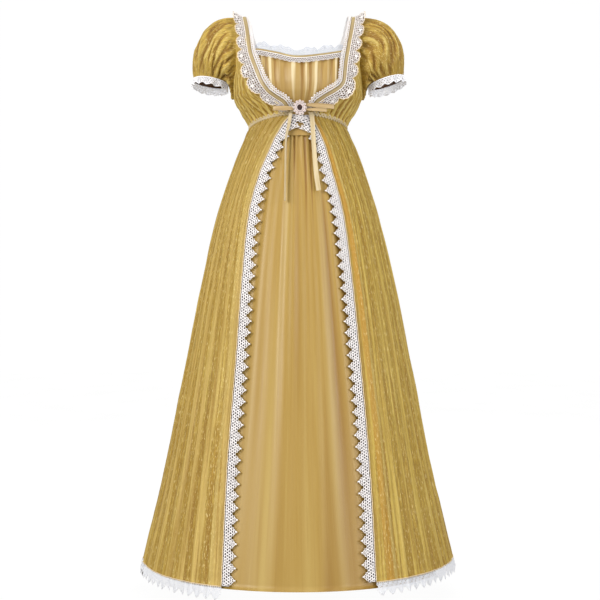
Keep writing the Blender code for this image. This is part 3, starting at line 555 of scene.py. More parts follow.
# how strong the painted shade in fold valleys and the painted highlight on fold crests are
skirtFoldShading, sleeveFoldShading = {"valley": 0.60, "crest": 0.35}, {"valley": 1.0, "crest": 0.75}
bodiceFoldShading = {"valley": 0.95, "crest": 0.8}
orangeEdge = {  # a strip of other colour along the front edge of the left skirt, and one on the right
    "start": 0.006, "end": 0.024, "colour": paint(188, 138, 44), "drift": 0.017, "fade": 0.3, "least": 0.55,
}
paleEdge = {
    "start": -0.005, "end": 0.019, "colour": paint(206, 178, 104), "drift": 0.0, "fade": 0.25, "least": 0.10,
}
robeRight = stripedCloth("robeRightCloth", lightStripe, darkStripe, 1.0, skirtFoldShading, paleEdge)
robeLeft = stripedCloth("robeLeftCloth", (205, 176, 84), (177, 142, 40), 0.90, skirtFoldShading, orangeEdge)
robeBack = stripedCloth("robeBackCloth", lightStripe, darkStripe, 1.0, skirtFoldShading)
bodiceCloth = stripedCloth("bodiceCloth", (226, 194, 100), (208, 168, 60), 0.6, bodiceFoldShading)
# one cloth in two tones: lighter on the right sleeve and darker on the left, painted light and shade from the
# side where the light falls
sleeveCloths = {
    "right": stripedCloth("sleeveRightLitCloth", (228, 194, 98), (216, 180, 76), 0.35, sleeveFoldShading),
    "left": stripedCloth("sleeveLeftShadedCloth", (188, 150, 50), (176, 136, 32), 0.35, sleeveFoldShading),
}
satin = satinCloth("goldSatin", (178, 144, 68), (194, 165, 92), (162, 125, 48), 0.80, 0.10)
# dark satin that stands for the shade inside the cuffs: painted shade
cuffShadeSatin = satinCloth("cuffShadeSatin", (96, 62, 34), (120, 82, 46), (74, 46, 24))
pleatedSatin = satinCloth("pleatedSatin", (186, 152, 84), (206, 178, 118), (158, 122, 58), 0.85, 0.90)
creamCord = threadLook("creamCord", (240, 222, 188), (206, 176, 132), 0.6)
whiteLace = threadLook("whiteLace", (253, 250, 250), (240, 234, 234))
netLace = threadLook("ruffleLace", (253, 249, 247), (238, 227, 222))
blueLace = threadLook("hemLace", (240, 241, 245), (222, 226, 236))
# the cuff lace glows faintly: painted light
cuffThread = threadLook("cuffLace", (248, 248, 252), (232, 235, 243), glow=0.14)
mistLace = threadLook("frillLace", (216, 220, 229), (190, 197, 210))
# dark sheets under the laces, seen through their holes: painted shade
laceShade = threadLook("laceHoleShade", (34, 24, 26), (20, 14, 16), 0.95)
holeShadeNet = threadLook("ruffleHoleShade", (100, 72, 46), (70, 48, 32), 0.95)
binding = satinCloth("bindingSatin", (176, 154, 100), (200, 180, 124), (160, 136, 78))
ribbon = ribbonLook("khakiRibbon", (204, 174, 124), (160, 130, 80))
paleRibbon = ribbonLook("paleRibbon", (222, 204, 164), (196, 172, 124))
darkRibbon = ribbonLook("neckRibbon", (190, 168, 118), (150, 126, 80))
print("materials ready")


# Stage, lights and camera

studio = {
    "camera": (0.005, -3.0, -0.705),
    "lens": 72,
    "floor": -1.412,
    "room": 9.0,
    "world": 0.50,
}


def addStage():
    camera = bpy.data.objects.new("camera", bpy.data.cameras.new("camera"))
    camera.data.lens, camera.data.sensor_width = studio["lens"], 36
    camera.location = studio["camera"]
    camera.rotation_euler = (math.radians(90), 0, 0)
    bpy.context.scene.collection.objects.link(camera)
    bpy.context.scene.camera = camera
    world = bpy.data.worlds.new("studio")
    world.use_nodes = True
    sky = world.node_tree.nodes["Background"].inputs
    sky["Color"].default_value = (1.0, 0.985, 0.96, 1)
    sky["Strength"].default_value = studio["world"]
    bpy.context.scene.world = world
    bpy.context.scene.view_settings.view_transform = "Standard"

    looks = []
    for name, scale, first, second in (
        ("paleStudio", 3.0, paint(250, 250, 250), paint(253, 253, 253)),
        ("paleBackdrop", 0.5, (1, 1, 1, 1), (0.995, 0.995, 0.995, 1)),
    ):
        n = Nodes(name)
        tone = n.mix(n.remap(n.noise(n.spot, scale), 0.2, 0.8), first, second)
        dark = {"Base Color": (0, 0, 0, 1), "Roughness": 1.0}
        looks.append(n.finish(**dark, **{"Emission Color": tone, "Emission Strength": 1.0}))
    sides = 64
    turn = turns(sides)
    height = np.full(sides, studio["floor"])
    rim = np.stack([np.cos(turn) * studio["room"], np.sin(turn) * studio["room"], height], -1)
    i = np.arange(sides)
    after = (i + 1) % sides
    disc = np.concatenate([rim, [[0, 0, studio["floor"]]]])
    floor = makeObject("floor", disc, [np.stack([i, after, np.full(sides, sides)], -1)], looks[0])
    ring = np.concatenate([rim - (0, 0, 6), rim + (0, 0, 16)])
    backdrop = makeObject("backdrop", ring, [np.stack([i, after, after + sides, i + sides], -1)], looks[1])
    for piece in (floor, backdrop):
        piece.visible_diffuse = piece.visible_glossy = piece.visible_shadow = False
    backdrop.visible_transmission = False


def addLight(name, location, target, width, height, power, colour):
    light = bpy.data.lights.new(name, "AREA")
    light.shape = "RECTANGLE"
    light.size, light.size_y = width, height
    light.energy, light.color = power, colour
    lamp = bpy.data.objects.new(name, light)
    lamp.location = location
    away = unit(np.array(location) - np.array(target))
    side = unit(np.cross((0, 0, 1.0), away))
    up = np.cross(away, side)
    lamp.rotation_euler = [math.atan2(up[2], away[2]), math.asin(-side[2]), math.atan2(side[1], side[0])]
    bpy.context.scene.collection.objects.link(lamp)


addStage()
lamps = (  # name, place, aimed at, width, height, watts, colour
    ("keyLamp", (-2.8, -3.0, 0.7), (0, 0, -0.8), 2.0, 2.2, 138, (1.0, 0.98, 0.95)),
    ("fillLamp", (3.0, -2.6, 0.1), (0, 0, -0.8), 2.0, 2.4, 88, (1.0, 0.99, 0.98)),
    ("topLamp", (0.3, -0.9, 2.4), (0, 0, -0.4), 1.4, 1.4, 21, (1.0, 0.99, 0.96)),
    ("backLamp", (0.9, 3.4, 0.9), (0, 0, -0.6), 2.0, 2.0, 70, (1.0, 0.98, 0.95)),
)
for lamp in lamps:
    addLight(*lamp)
print("stage, lights and camera ready")


# Robe skirt: four panels gathered into the waist seam, with long soft folds and crinkles

robeSkirt = {
    "thickness": 0.0008,
    "rows": 108,
    "columns": 132,
    "gatherHeight": 0.0034,
    "gatherPitch": 0.0085,
    "gatherFade": 0.20,
    "creaseHeight": 0.0015,
    "creasePitch": 0.026,
    "crinkleHeight": 0.0007,
    "crinklePitch": 0.0105,
    "shadeDepth": 0.0026,  # how deep a fold is where its cloth is darkest
}
rightFolds = columns(
    "width height",
    (10, 0.7), (13, 1.0), (9, 0.6), (12, 0.9), (14, 1.0), (9, 0.7), (12, 1.0), (10, 0.8), (9, 0.9),
)
leftFolds = columns(
    "width height",
    (12, 0.9), (9, 0.6), (13, 1.0), (10, 0.8), (12, 0.9), (10, 0.6), (14, 1.0), (9, 0.8), (10, 0.9),
)
backLeftFolds = columns(
    "width height",
    (9, 0.9), (12, 1.0), (10, 0.7), (14, 1.0), (9, 0.6), (12, 0.9), (13, 1.0), (9, 0.8), (11, 1.0),
)
backRightFolds = columns(
    "width height",
    (14, 1.1), (10, 0.8), (13, 1.1), (9, 0.7), (12, 1.0), (14, 0.9), (10, 1.0), (9, 0.7), (13, 1.0),
)


def foldHeight(share, folds, flat, power):  # 0 between folds, and each fold's height at its crest
    edges = np.concatenate([[flat], flat + np.cumsum(folds["width"])])
    at = np.clip(share, 0, 1) * edges[-1]
    i = np.clip(np.searchsorted(edges, at, side="right") - 1, 0, len(folds) - 1)
    t = np.clip((at - edges[i]) / folds["width"][i], 0, 1)
    return folds["height"][i] * np.sin(math.pi * t) ** power


panels = {  # side, part of the hem that it covers, its folds, share that is flat under the lace, seed, cloth
    "skirt_front_right": (-1, "front", rightFolds, 6, 11, robeRight),
    "skirt_front_left": (1, "front", leftFolds, 6, 12, robeLeft),
    "skirt_back_right": (-1, "back", backRightFolds, 0, 13, robeBack),
    "skirt_back_left": (1, "back", backLeftFolds, 0, 14, robeBack),
}


def panelEnds(side, part, level):
    if part == "front":
        return openingAngle(side, level), side * (math.pi / 2 - seamTurn(level))
    return side * (math.pi / 2 + seamTurn(level)), side * (math.pi - seamTurn(level))


def panelLift(name, share, level):
    _, part, folds, flat, seed, _ = panels[name]
    width = 0.48 if part == "front" else 0.56  # of the cloth, so that a crease keeps its real size
    down = gown["waist"] - level
    edge = ramp(share, 0.0, 0.09) if part == "front" else ramp(share, 0.0, 0.03)
    edge = edge * ramp(1 - share, 0.0, 0.03)
    drift = 0.006 * np.sin(2 * math.pi * (level * 1.1 + seed))
    drift = drift + 0.004 * np.sin(2 * math.pi * (level * 2.3 + seed / 3))
    fold = foldHeight(share + drift * edge, folds, flat, 1.5)
    soft = np.clip(0.5 + 0.45 * creases(share * width, level, seed + 60, 0.066, 1.8, 5), 0, 1)
    lift = (0.38 * edge + 0.12 * fold + 0.50 * soft * edge) * byLevel(opening, level, "robeFold")
    top = np.exp(-np.maximum(down, 0) / robeSkirt["gatherFade"]) * ramp(down, 0.0, 0.02)
    gather = creases(share * width, level, seed + 20, robeSkirt["gatherPitch"] * 1.6, 0.8, 5)
    lift = lift + robeSkirt["gatherHeight"] * top * (0.6 + gather) * edge
    lower = ramp(down, 0.03, 0.25)
    crease = creases(share * width, level, seed, robeSkirt["creasePitch"], 0.5)
    crinkle = creases(share * width, level, seed + 40, robeSkirt["crinklePitch"], 0.16)
    lift = lift + robeSkirt["creaseHeight"] * crease * edge * (0.4 + 0.6 * lower)
    return lift + robeSkirt["crinkleHeight"] * crinkle * (0.3 + 0.7 * edge)


def addRobeSkirt():
    made = {}
    for name, (side, part, _, _, _, cloth) in panels.items():
        top, bottom = gown["waist"] - gown["seam"], gown["robeHem"]
        level = (top + (bottom - top) * np.linspace(0, 1, robeSkirt["rows"]) ** 1.2)[:, None]
        share = np.linspace(0, 1, robeSkirt["columns"] - (0 if part == "front" else 12))[None, :]
        start, end = panelEnds(side, part, level)
        angle = start + (end - start) * share
        lift = panelLift(name, *np.broadcast_arrays(share, level))
        grid = lifted(angle, np.broadcast_to(level, angle.shape), lift + 0.0002)
        # painted shade in the folds and painted highlight on their crests
        shade = foldShade(lift, 7, robeSkirt["shadeDepth"])
        seam = 1 - share if part == "front" else share  # painted shade near the side seam, where the seam pulls the cloth in
        shade = np.minimum(shade, 0.08 + ramp(seam, 0.02, 0.17))
        made[name] = sewn(name, "robe_cloth", grid, robeSkirt["thickness"], cloth, shade=shade)
    return made


skirt = addRobeSkirt()
print("robe skirt ready")


# Bodice: front and back quarters, gathered a little at the waist seam

bodice = {
    "thickness": 0.0008,
    "rows": 58,
    "columns": 58,
    "clothWidth": 0.19,
    "gather": 0.0024,
    "drag": 0.0024,
    "lift": 0.0010,
    "shadeDepth": 0.0011,
}


def neckX(side, level, front):
    if front:
        return side * byLevel(neckEdges, level, "left" if side > 0 else "right")
    return side * byLevel(backNeck, level, "halfWidth")


def bodiceAngles(side, front, level):
    inner = np.abs(angleAt(neckX(side, level, front), level))
    outer = math.pi / 2 - seamTurn(level)
    armhole = angleAt(byLevel(neckEdges, level, "armhole"), level)
    outer = np.where(level > gown["underarm"] + gown["seam"], np.minimum(outer, armhole), outer)
    if front:
        return side * inner, side * outer
    return side * (math.pi - inner), side * (math.pi - outer)


def addBodice():
    made = {}
    t = np.linspace(0, 1, bodice["rows"])
    bottom = gown["waist"] + gown["seam"]
    level = (bottom * t ** 1.35)[:, None]
    for part, front, seed in (("front", True, 3), ("back", False, 7)):
        for name, side in (("right", -1), ("left", 1)):
            start, end = bodiceAngles(side, front, level)
            share = np.linspace(0, 1, bodice["columns"])[None, :]
            angle = start + (end - start) * share
            here = np.broadcast_to(level, angle.shape)
            edge = ramp(share, 0.0, 0.15) * ramp(1 - share, 0.0, 0.08)
            low = ramp(-here, 0.17, 0.27)
            u, v = np.broadcast_arrays(share * 0.17, here)
            lift = bodice["gather"] * low * (0.7 + creases(u, v, seed + 30 + side, 0.012, 0.3, 5))
            slant = 0.35 * side * (here - gown["waist"])
            drag = creases(u + slant, v, seed + 50 + 4 * side, 0.014, 0.10) * (1 - 0.4 * low)
            lift = np.maximum(0.0, bodice["lift"] + (lift + bodice["drag"] * drag) * edge)
            grid = lifted(angle, here, lift)
            node = f"bodice_{part}_{name}"
            # painted shade in the hollows of the gathers and painted highlight on their crests
            uv, shade = flatMap(grid, bodice["clothWidth"]), foldShade(lift, 4, bodice["shadeDepth"])
            made[node] = sewn(node, "robe_cloth", grid, bodice["thickness"], bodiceCloth, uv, shade=shade)
    return made


bodicePieces = addBodice()
print("bodice ready")


# Satin insert: pleated bodice, waistband and gathered skirt

insert = {
    "bodiceReach": math.radians(50),
    "skirtReach": math.radians(62),
    "thickness": 0.0007,
    "bandThickness": 0.0008,
    "clothWidth": 0.36,
    "pleatDepth": 0.0048,
    "pleatShade": 0.0019,
    "gatherPitch": 0.0075,
    "gatherHeight": 0.0034,
    "gatherFade": 0.070,
    "tuckDepth": 0.0022,
    "foldShade": 0.0030,
}
insertFolds = columns(
    "width height",
    (14, 1.0), (12, 0.7), (14, 1.0), (10, 0.8), (9, 1.0), (8, 0.7), (10, 1.0),
    (8, 0.8), (9, 1.0), (10, 0.7), (12, 1.0), (14, 0.8), (13, 1.0),
)
pleats = columns(
    "width height",
    (12, 0.9), (8, 0.45), (13, 0.9), (9, 0.4), (13, 1.0),
    (8, 0.5), (12, 1.0), (10, 0.45), (12, 0.8), (8, 0.5),
)
pleatMargin = 8
waistTucks = columns(
    "x width depth length",
    (-0.0290, 0.0042, 0.45, 0.10),
    (-0.0080, 0.0018, 0.8, 0.05),
    (0.0175, 0.0036, 1.0, 0.12),
    (0.0300, 0.0028, 1.0, 0.16),
)


def neckline(angle):
    return byAngle(necklineHeights, angle)


def addInsert():
    made = {}
    # bodice
    share = np.linspace(0, 1, 200)[None, :]
    angle = insert["bodiceReach"] * (2 * share - 1)
    top, bottom = neckline(angle), gown["bandTop"]
    t = np.linspace(0, 1, 40)[:, None] ** 0.9
    level = top + (bottom - top) * t
    angle = np.broadcast_to(angle, level.shape)
    total = pleatMargin * 2 + pleats["width"].sum()
    inner = (share * total - pleatMargin) / (total - 2 * pleatMargin)
    drift = 0.010 * np.sin(9 * level + 14 * angle)
    crest = foldHeight(inner + drift, pleats, 0.0, 2.4)
    fade = np.interp(-level, [0.120, 0.200, 0.270, 0.3045], [1.0, 0.75, 0.45, 0.0])
    fine = creases(share * 0.3, level, 31, 0.009, 0.14) * 0.0003
    side = ramp(share, 0.0, 0.08) * ramp(1 - share, 0.0, 0.08)
    hidden = 2 * gown["seam"]
    sunk = hidden + (gown["insertDepth"] - hidden + insert["pleatDepth"] * fade * (1 - crest) - fine) * side
    grid = lifted(angle, level, -sunk - insert["thickness"])
    # painted shade in the pleats' hollows and painted highlight on their crests
    uv, shade = flatMap(grid, insert["clothWidth"]), foldShade(-sunk, 8, insert["pleatShade"])
    made["bodice"] = sewn("insert_bodice", "satin", grid, insert["thickness"], pleatedSatin, uv, shade=shade)

    # waistband
    level = np.linspace(gown["bandTop"] - gown["seam"], gown["bandBottom"], 12)[:, None]
    angle, level = np.broadcast_arrays(insert["skirtReach"] * (2 * share - 1), level)
    t = (level - gown["bandBottom"]) / (gown["bandTop"] - gown["bandBottom"])
    puff = 0.0003 * np.sin(math.pi * np.clip(t, 0, 1)) + 0.0002 * creases(share * 0.3, level, 33, 0.012, 0.05)
    depth = gown["insertDepth"] + gown["clothRoom"]
    grid = lifted(angle, level, puff - depth)
    thickness = insert["bandThickness"]
    made["waistband"] = sewn("insert_waistband", "satin", grid, thickness, pleatedSatin, shade=0.62)

    # skirt
    share = np.linspace(0, 1, 152)[None, :]
    top, bottom = gown["bandBottom"] - gown["seam"], gown["insertHem"]
    level = (top + (bottom - top) * np.linspace(0, 1, 96) ** 1.25)[:, None]
    share, level = np.broadcast_arrays(share, level)
    angle = insert["skirtReach"] * (2 * share - 1)
    down = top - level
    drift = 0.006 * np.sin(4.2 * level + 1) * np.sin(math.pi * share)
    crest = 0.40 + 0.30 * foldHeight(share + drift, insertFolds, 0.0, 1.6)
    crest = crest + 0.30 * np.clip(creases(share * 0.62, level, 41, 0.05, 1.6, 5), -1, 1)
    fold = byLevel(opening, level, "insertFold")
    near = np.exp(-down / insert["gatherFade"])
    gather = creases(share * 0.36, level, 35, insert["gatherPitch"] * 1.5, 0.5, 5)
    soft = creases(share * 0.62, level, 37, 0.055, 1.4, 5) * 0.0010 * ramp(down, 0.05, 0.3)
    lift = -depth - fold * (1 - crest) + insert["gatherHeight"] * near * (gather - 0.4) + soft
    across = gownPoint(angle, level, False)[..., 0]
    tucked = 0
    for tuck in waistTucks:  # deep narrow folds under the waistband
        fall = across - tuck["x"] * (1 + 1.1 * down)
        tucked = tucked + tuck["depth"] * np.exp(-(fall / tuck["width"]) ** 2 - down / tuck["length"])
    lift = lift - insert["tuckDepth"] * tucked * ramp(down, 0.0, 0.006)
    grid = lifted(angle, level, lift, hem=False)
    # painted shade and highlight of the folds, stronger near the waistband; painted shade in the tucks and on
    # the wearer's left part of the skirt below the waistband
    shade = 0.5 + (foldShade(lift, 8, insert["foldShade"]) - 0.5) * (0.25 + 0.75 * np.exp(-down / 0.12))
    shade = shade - 1.05 * tucked - 0.26 * ramp(across, 0.042, 0.070) * ramp(down, 0.05, 0.15)
    shade = np.clip(shade, 0, 1)
    made["skirt"] = sewn("insert_skirt", "satin", grid, insert["thickness"], satin, shade=shade)
    return made


insertPieces = addInsert()
print("satin insert ready")


# Sleeves: full puffs gathered at the armhole and the cuff

sleeve = {
    "cuffCentre": (0.219, 0.0, -0.157),
    "cuffHalfWidth": 0.043,
    "cuffHalfDepth": 0.045,
    "cuffEase": 0.0030,
    "armOut": math.radians(17),
    "armholeGap": 0.0012,
    "out": (0.010, 0.071),
    "up": (0.002, 0.074),
    "bulge": (0.006, 0.042),
    "forward": 0.030,
    "flatter": 0.0060,  # how much lower the outer side of the right cuff is
    "capRise": 0.016,
    "thickness": 0.0008,
    "around": 312,
    "along": 56,
    "clothWidth": 0.62,
    "clothLength": 0.21,
    "gatherHeight": 0.0011,
    "puffDepth": 0.0095,
    "ridgeHeight": 0.0022,
    "crushHeight": 0.0007,
    "outerSink": 0.0085,  # how far the upper outer side is sunk, and the lower one of the right sleeve
    "rightSink": 0.0020,
    "shadeDepth": 0.0024,
}
sleeveCreases = columns("count lean depth", (9, 0.2, 1.0), (13, -0.5, 1.0), (19, 0.5, 0.85), (25, -0.3, 0.7))
armDown = np.array([math.sin(sleeve["armOut"]), 0.0, -math.cos(sleeve["armOut"])])
armAcross = np.array([math.cos(sleeve["armOut"]), 0.0, math.sin(sleeve["armOut"])])
armForward = np.array([0.0, -1.0, 0.0])


def armholePoint(turn):
    level = gown["underarm"] / 2 * (1 - np.cos(turn * 2 * math.pi))
    angle = angleAt(byLevel(neckEdges, level, "armhole"), level)
    return gownPoint(np.where(turn > 0.5, math.pi - angle, angle), level)


def cuffPoint(side, turn, drop, growth):
    circle = (turn * 2 * math.pi)[..., None]
    drop, growth = np.asarray(drop)[..., None], np.asarray(growth)[..., None]
    drop = drop + sleeve["flatter"] * np.cos(circle) * (side < 0)
    growth = growth - 0.0050 * np.clip(np.cos(circle), 0, 1) * (side < 0)
    point = np.array(sleeve["cuffCentre"]) + armDown * drop
    point = point + armAcross * np.cos(circle) * (sleeve["cuffHalfWidth"] + growth)
    point = point + armForward * np.sin(circle) * (sleeve["cuffHalfDepth"] + growth)
    return point * (side, 1, 1)


def sleevePoint(side, turn, along):
    circle = turn * 2 * math.pi
    top = (1 + np.cos(circle)) / 2
    spoke = armAcross * np.cos(circle)[..., None] + armForward * np.sin(circle)[..., None]
    start = armholePoint(turn) + (sleeve["armholeGap"], 0.0, 0.0)
    end = cuffPoint(side, turn, 0.0, sleeve["cuffEase"]) * (side, 1, 1)
    out = np.interp(top, [0, 1], sleeve["out"])
    up = np.interp(top, [0, 1], sleeve["up"])
    bulge = np.interp(2 * top, [0, 1], sleeve["bulge"])
    rise = np.stack([out, 0 * out, sleeve["capRise"] * np.cos(circle)], -1)
    first = start + armForward * np.sin(circle)[..., None] * sleeve["forward"] + rise
    second = end - armDown * up[..., None] + spoke * bulge[..., None]
    t = along[..., None]
    point = (1 - t) ** 3 * start + 3 * t * (1 - t) ** 2 * first + 3 * t * t * (1 - t) * second + t ** 3 * end
    return point * (side, 1, 1)


def addSleeves():
    made = {}
    around = np.arange(sleeve["around"]) / sleeve["around"]
    turn, along = np.meshgrid(around, np.linspace(0, 1, sleeve["along"]))
    for name, side, seed, crush in (("right", -1, 5, 1.3), ("left", 1, 9, 0.7)):
        grid = sleevePoint(side, turn, along)
        away = gridNormals(grid, ring=True)
        middle = grid - grid.mean(axis=1, keepdims=True)
        away = -away if (away * middle).sum() < 0 else away
        circle = turn * 2 * math.pi
        draw = np.random.default_rng(seed)
        gathers = 0
        for count in (17, 19, 22, 26):
            gathers = gathers + np.cos(count * circle + draw.uniform(0, 6.28))
        warp = 0.10 * np.sin(2 * circle + 4.0 * along + draw.uniform(0, 6.28))
        warp = warp + 0.040 * np.sin(5 * circle - 6.0 * along + draw.uniform(0, 6.28))
        warp = warp + 0.010 * np.sin(9 * circle + 11.0 * along + draw.uniform(0, 6.28))
        puffs, ridges = 1.0, 0.0  # sharp narrow valleys between soft puffs, and thin ridges on them
        falling = circle + warp - 0.65 * np.sin(circle) * along  # folds fall from the top to the cuff's front
        for count, lean, depth in sleeveCreases:
            wave = count * falling + lean * crush * 2 * math.pi * along + draw.uniform(0, 6.28)
            grow = np.sin(3 * circle + draw.uniform(2, 6) * along + draw.uniform(0, 6.28))
            grow = ramp(grow + 0.5 * np.sin(7 * circle - 5 * along + draw.uniform(0, 6.28)), -0.9, 0.7)
            puffs = np.minimum(puffs, 1 - depth * grow * (1 - np.abs(np.sin(wave / 2))) ** 2.2)
            ridges = np.maximum(ridges, depth * grow * (1 - np.abs(np.cos(wave / 2 + 0.5))) ** 5)
        atTop, atCuff = (1 - ramp(along, 0.04, 0.5)), ramp(along, 0.5, 0.96)
        body = np.sin(math.pi * np.clip(along, 0.03, 0.97)) ** 0.6
        lift = sleeve["gatherHeight"] * gathers * (atTop + atCuff)
        lift = lift * np.sin(math.pi * np.clip(along, 0.02, 0.985)) ** 0.3
        lift = lift + (sleeve["puffDepth"] * (puffs - 1.10) + sleeve["ridgeHeight"] * ridges) * body
        sink = sleeve["outerSink"] * (1 - along) + sleeve["rightSink"] * along * (side < 0)
        lift = lift - sink * np.clip(np.cos(circle), 0, 1) ** 0.7 * body
        crushed = np.sin(17 * along + 3 * np.sin(4 * circle + seed)) * np.sin(6 * circle + 5 * along)
        lift = lift + sleeve["crushHeight"] * crushed * body
        ends = ramp(along, 0.0, 0.03) * ramp(1 - along, 0.0, 0.04)
        grid = grid + away * (lift * ends)[..., None]
        down = np.linspace(0, sleeve["clothLength"], sleeve["along"])[:, None]
        uv = spread(np.linspace(0, sleeve["clothWidth"], sleeve["around"] + 1), down)
        node = f"sleeve_{name}"
        # painted shade in the narrow valleys and painted highlight on the puffs' ridges, with less painted
        # shade towards the armhole and the cuff
        shade = 0.5 * foldShade(lift * ends, 8, sleeve["shadeDepth"], True)
        shade = shade + np.clip(0.80 * puffs ** 2.5 - 0.50 + 0.5 * ridges, -0.25, 0.5) * body
        shade = np.clip(shade + 0.22 * (1 - body), 0, 1)
        look = {"away": away, "ring": True, "shade": shade}
        made[name] = sewn(node, "robe_cloth", grid, sleeve["thickness"], sleeveCloths[name], uv, **look)

        # cuff band under the lace, in dark satin that paints the shade inside the cuff
        rows = np.linspace(0, 1, 9)[:, None]
        around, rows = np.broadcast_arrays((np.arange(96) / 96)[None, :], rows)
        roll = 0.0010 * np.sin(math.pi * rows)
        grid = cuffPoint(side, around, 0.0006 + 0.008 * rows, roll)
        uv = spread(np.linspace(0, 0.28, 97), rows[:, :1] * 0.008)
        away = cuffPoint(side, around, 0, 1) - cuffPoint(side, around, 0, 0.9)
        look = {"away": away, "ring": True, "shade": 0.3}
        made[name + "_band"] = sewn(f"cuff_band_{name}", "satin", grid, 0.0012, cuffShadeSatin, uv, **look)
    return made


sleevePieces = addSleeves()
print("sleeves ready")


# Lace: threads and petals laid out flat for one repeat, then set along an edge

class Pattern:  # lace laid out flat in millimetres: u along the edge, v across it
    def __init__(self):
        self.cords, self.leaves = [], []

    def cord(self, points, width, closed=False, raised=0.0, tape=False):
        self.cords.append((np.array(points, float), width, closed, raised, tape))

    def line(self, start, end, width, pieces=2, raised=0.0, tape=False):
        t = np.linspace(0, 1, pieces + 1)[:, None]
        self.cord(np.array(start) * (1 - t) + np.array(end) * t, width, raised=raised, tape=tape)

    def ring(self, u, v, radius, width, sides=10, squash=1.0, raised=0.0):
        turn = turns(sides)
        points = np.stack([u + radius * np.cos(turn), v + radius * squash * np.sin(turn)], -1)
        self.cord(points, width, True, raised)

    def cell(self, left, right, low, high, width, raised=0.0):  # a square of cloth with a hole in its middle
        turn = turns(8)
        reach = np.where(np.arange(8) % 2, 1.30, 1.0)
        u = (left + right) / 2 + np.cos(turn) * reach * ((right - left) - width * 0.92) / 2
        v = (low + high) / 2 + np.sin(turn) * reach * ((high - low) - width * 0.92) / 2
        self.cord(np.stack([u, v], -1), width, True, raised, True)

    def leaf(self, u, v, length, wide, turn, sides=8, raised=0.0):
        a = turns(sides)
        x, y = np.cos(a) * length / 2, np.sin(a) * wide / 2
        c, s = math.cos(turn), math.sin(turn)
        self.leaves.append((np.stack([u + x * c - y * s, v + x * s + y * c], -1), raised))

    def flower(self, u, v, radius, petals, turn):
        middle = radius * 0.58
        for a in turn + turns(petals):
            x, y = u + middle * math.cos(a), v + middle * math.sin(a)
            self.leaf(x, y, radius * 0.8, radius * 0.62, a, 6, 0.2)
        self.ring(u, v, radius * 0.2, radius * 0.24, 6, raised=0.2)


def fitted(length, pitch):  # how many repeats fill a length, and how far each is squeezed
    count = round(length * 1000 / pitch)
    return count, length * 1000 / (count * pitch)


def carry(piece, holder):  # a piece that rides on another one
    piece.parent = holder
    return piece


def strips(count, n, spans):  # each point of count lines of n points, and the next point on its line
    first = np.arange(count)[:, None] * n
    return first + np.arange(spans), first + (np.arange(spans) + 1) % n


def laceMesh(name, pattern, pitch, count, shape, material, thread, squeeze=1.0):
    # pitch is the repeat's length in millimetres, and shape(u, v, h) gives a place on the gown from metres
    points, faces, base = [], [], 0
    repeats = np.arange(count)[:, None, None] * np.array([pitch * 1.0, 0.0])
    groups = {}
    for line, width, closed, raised, tape in pattern.cords:
        groups.setdefault((len(line), closed, tape), []).append((line, width, raised))
    for (n, closed, tape), lines in groups.items():
        flat = np.concatenate([line[None] + repeats for line, _, _ in lines])
        width = np.repeat([width for _, width, _ in lines], count)[:, None]
        high = np.repeat([raised for _, _, raised in lines], count)[:, None] + 0 * flat[..., 0]
        if closed:
            along = np.roll(flat, -1, 1) - np.roll(flat, 1, 1)
        else:
            along = np.gradient(flat, axis=1)
        side = unit(np.stack([-along[..., 1], along[..., 0]], -1)) * width[..., None] / 2
        rows = [(1.0, 0), (0.62, 1), (-0.62, 1), (-1.0, 0)] if tape else [(1.0, 0), (0.0, 1), (-1.0, 0)]
        k, sides = len(flat), len(rows)
        for share, up in rows:
            tall = (high + thread * up)[..., None]
            points.append(np.concatenate([flat + side * share, tall], -1).reshape(-1, 3))
        i, j = strips(k, n, n if closed else n - 1)
        for a in range(sides):
            b = (a + 1) % sides
            quad = np.stack([i + a * k * n, j + a * k * n, j + b * k * n, i + b * k * n], -1).reshape(-1, 4)
            faces.append(quad + base)
        if not closed:
            order = list(range(sides))
            for end, turned in ((0, order), (n - 1, order[::-1])):
                cap = np.arange(k) * n + end
                faces.append(np.stack([cap + a * k * n for a in turned], -1) + base)
        base += sides * k * n
    for n in sorted({len(outline) for outline, _ in pattern.leaves}):
        chosen = [(outline, raised) for outline, raised in pattern.leaves if len(outline) == n]
        flat = np.concatenate([outline[None] + repeats for outline, _ in chosen])
        raised = np.repeat([raised for _, raised in chosen], count)
        k = len(flat)
        rim = np.concatenate([flat, np.broadcast_to(raised[:, None, None], (k, n, 1))], -1)
        middle = flat.mean(axis=1)
        top = np.concatenate([middle, (raised + thread * 1.2)[:, None]], -1)
        under = np.concatenate([middle, raised[:, None]], -1)
        points += [rim.reshape(-1, 3), top, under]
        i, j = strips(k, n, n)
        up = np.broadcast_to(k * n + np.arange(k)[:, None], i.shape)
        faces.append(np.stack([i, j, up], -1).reshape(-1, 3) + base)
        faces.append(np.stack([j, i, up + k], -1).reshape(-1, 3) + base)
        base += k * n + 2 * k
    flat = np.concatenate(points) / 1000
    return makeObject(name, shape(flat[:, 0] * squeeze, flat[:, 1], flat[:, 2]), faces, material)


def addLace(node, *rest):  # a lace in the place of its solid
    return place(laceMesh(node + "_threads", *rest), "lace", node)


def pathTable(points, *others):  # places along a path by the distance from its start
    length = np.concatenate([[0], np.cumsum(np.linalg.norm(np.diff(points, axis=0), axis=1))])

    def at(distance):
        distance = np.clip(distance, 0, length[-1])
        return [np.stack([np.interp(distance, length, part[:, k]) for k in range(part.shape[1])], -1)
                for part in (points, *others)]

    return at, length[-1]


edgeLace = {"pitch": 26.8, "lift": 0.0030, "thick": 1.1}


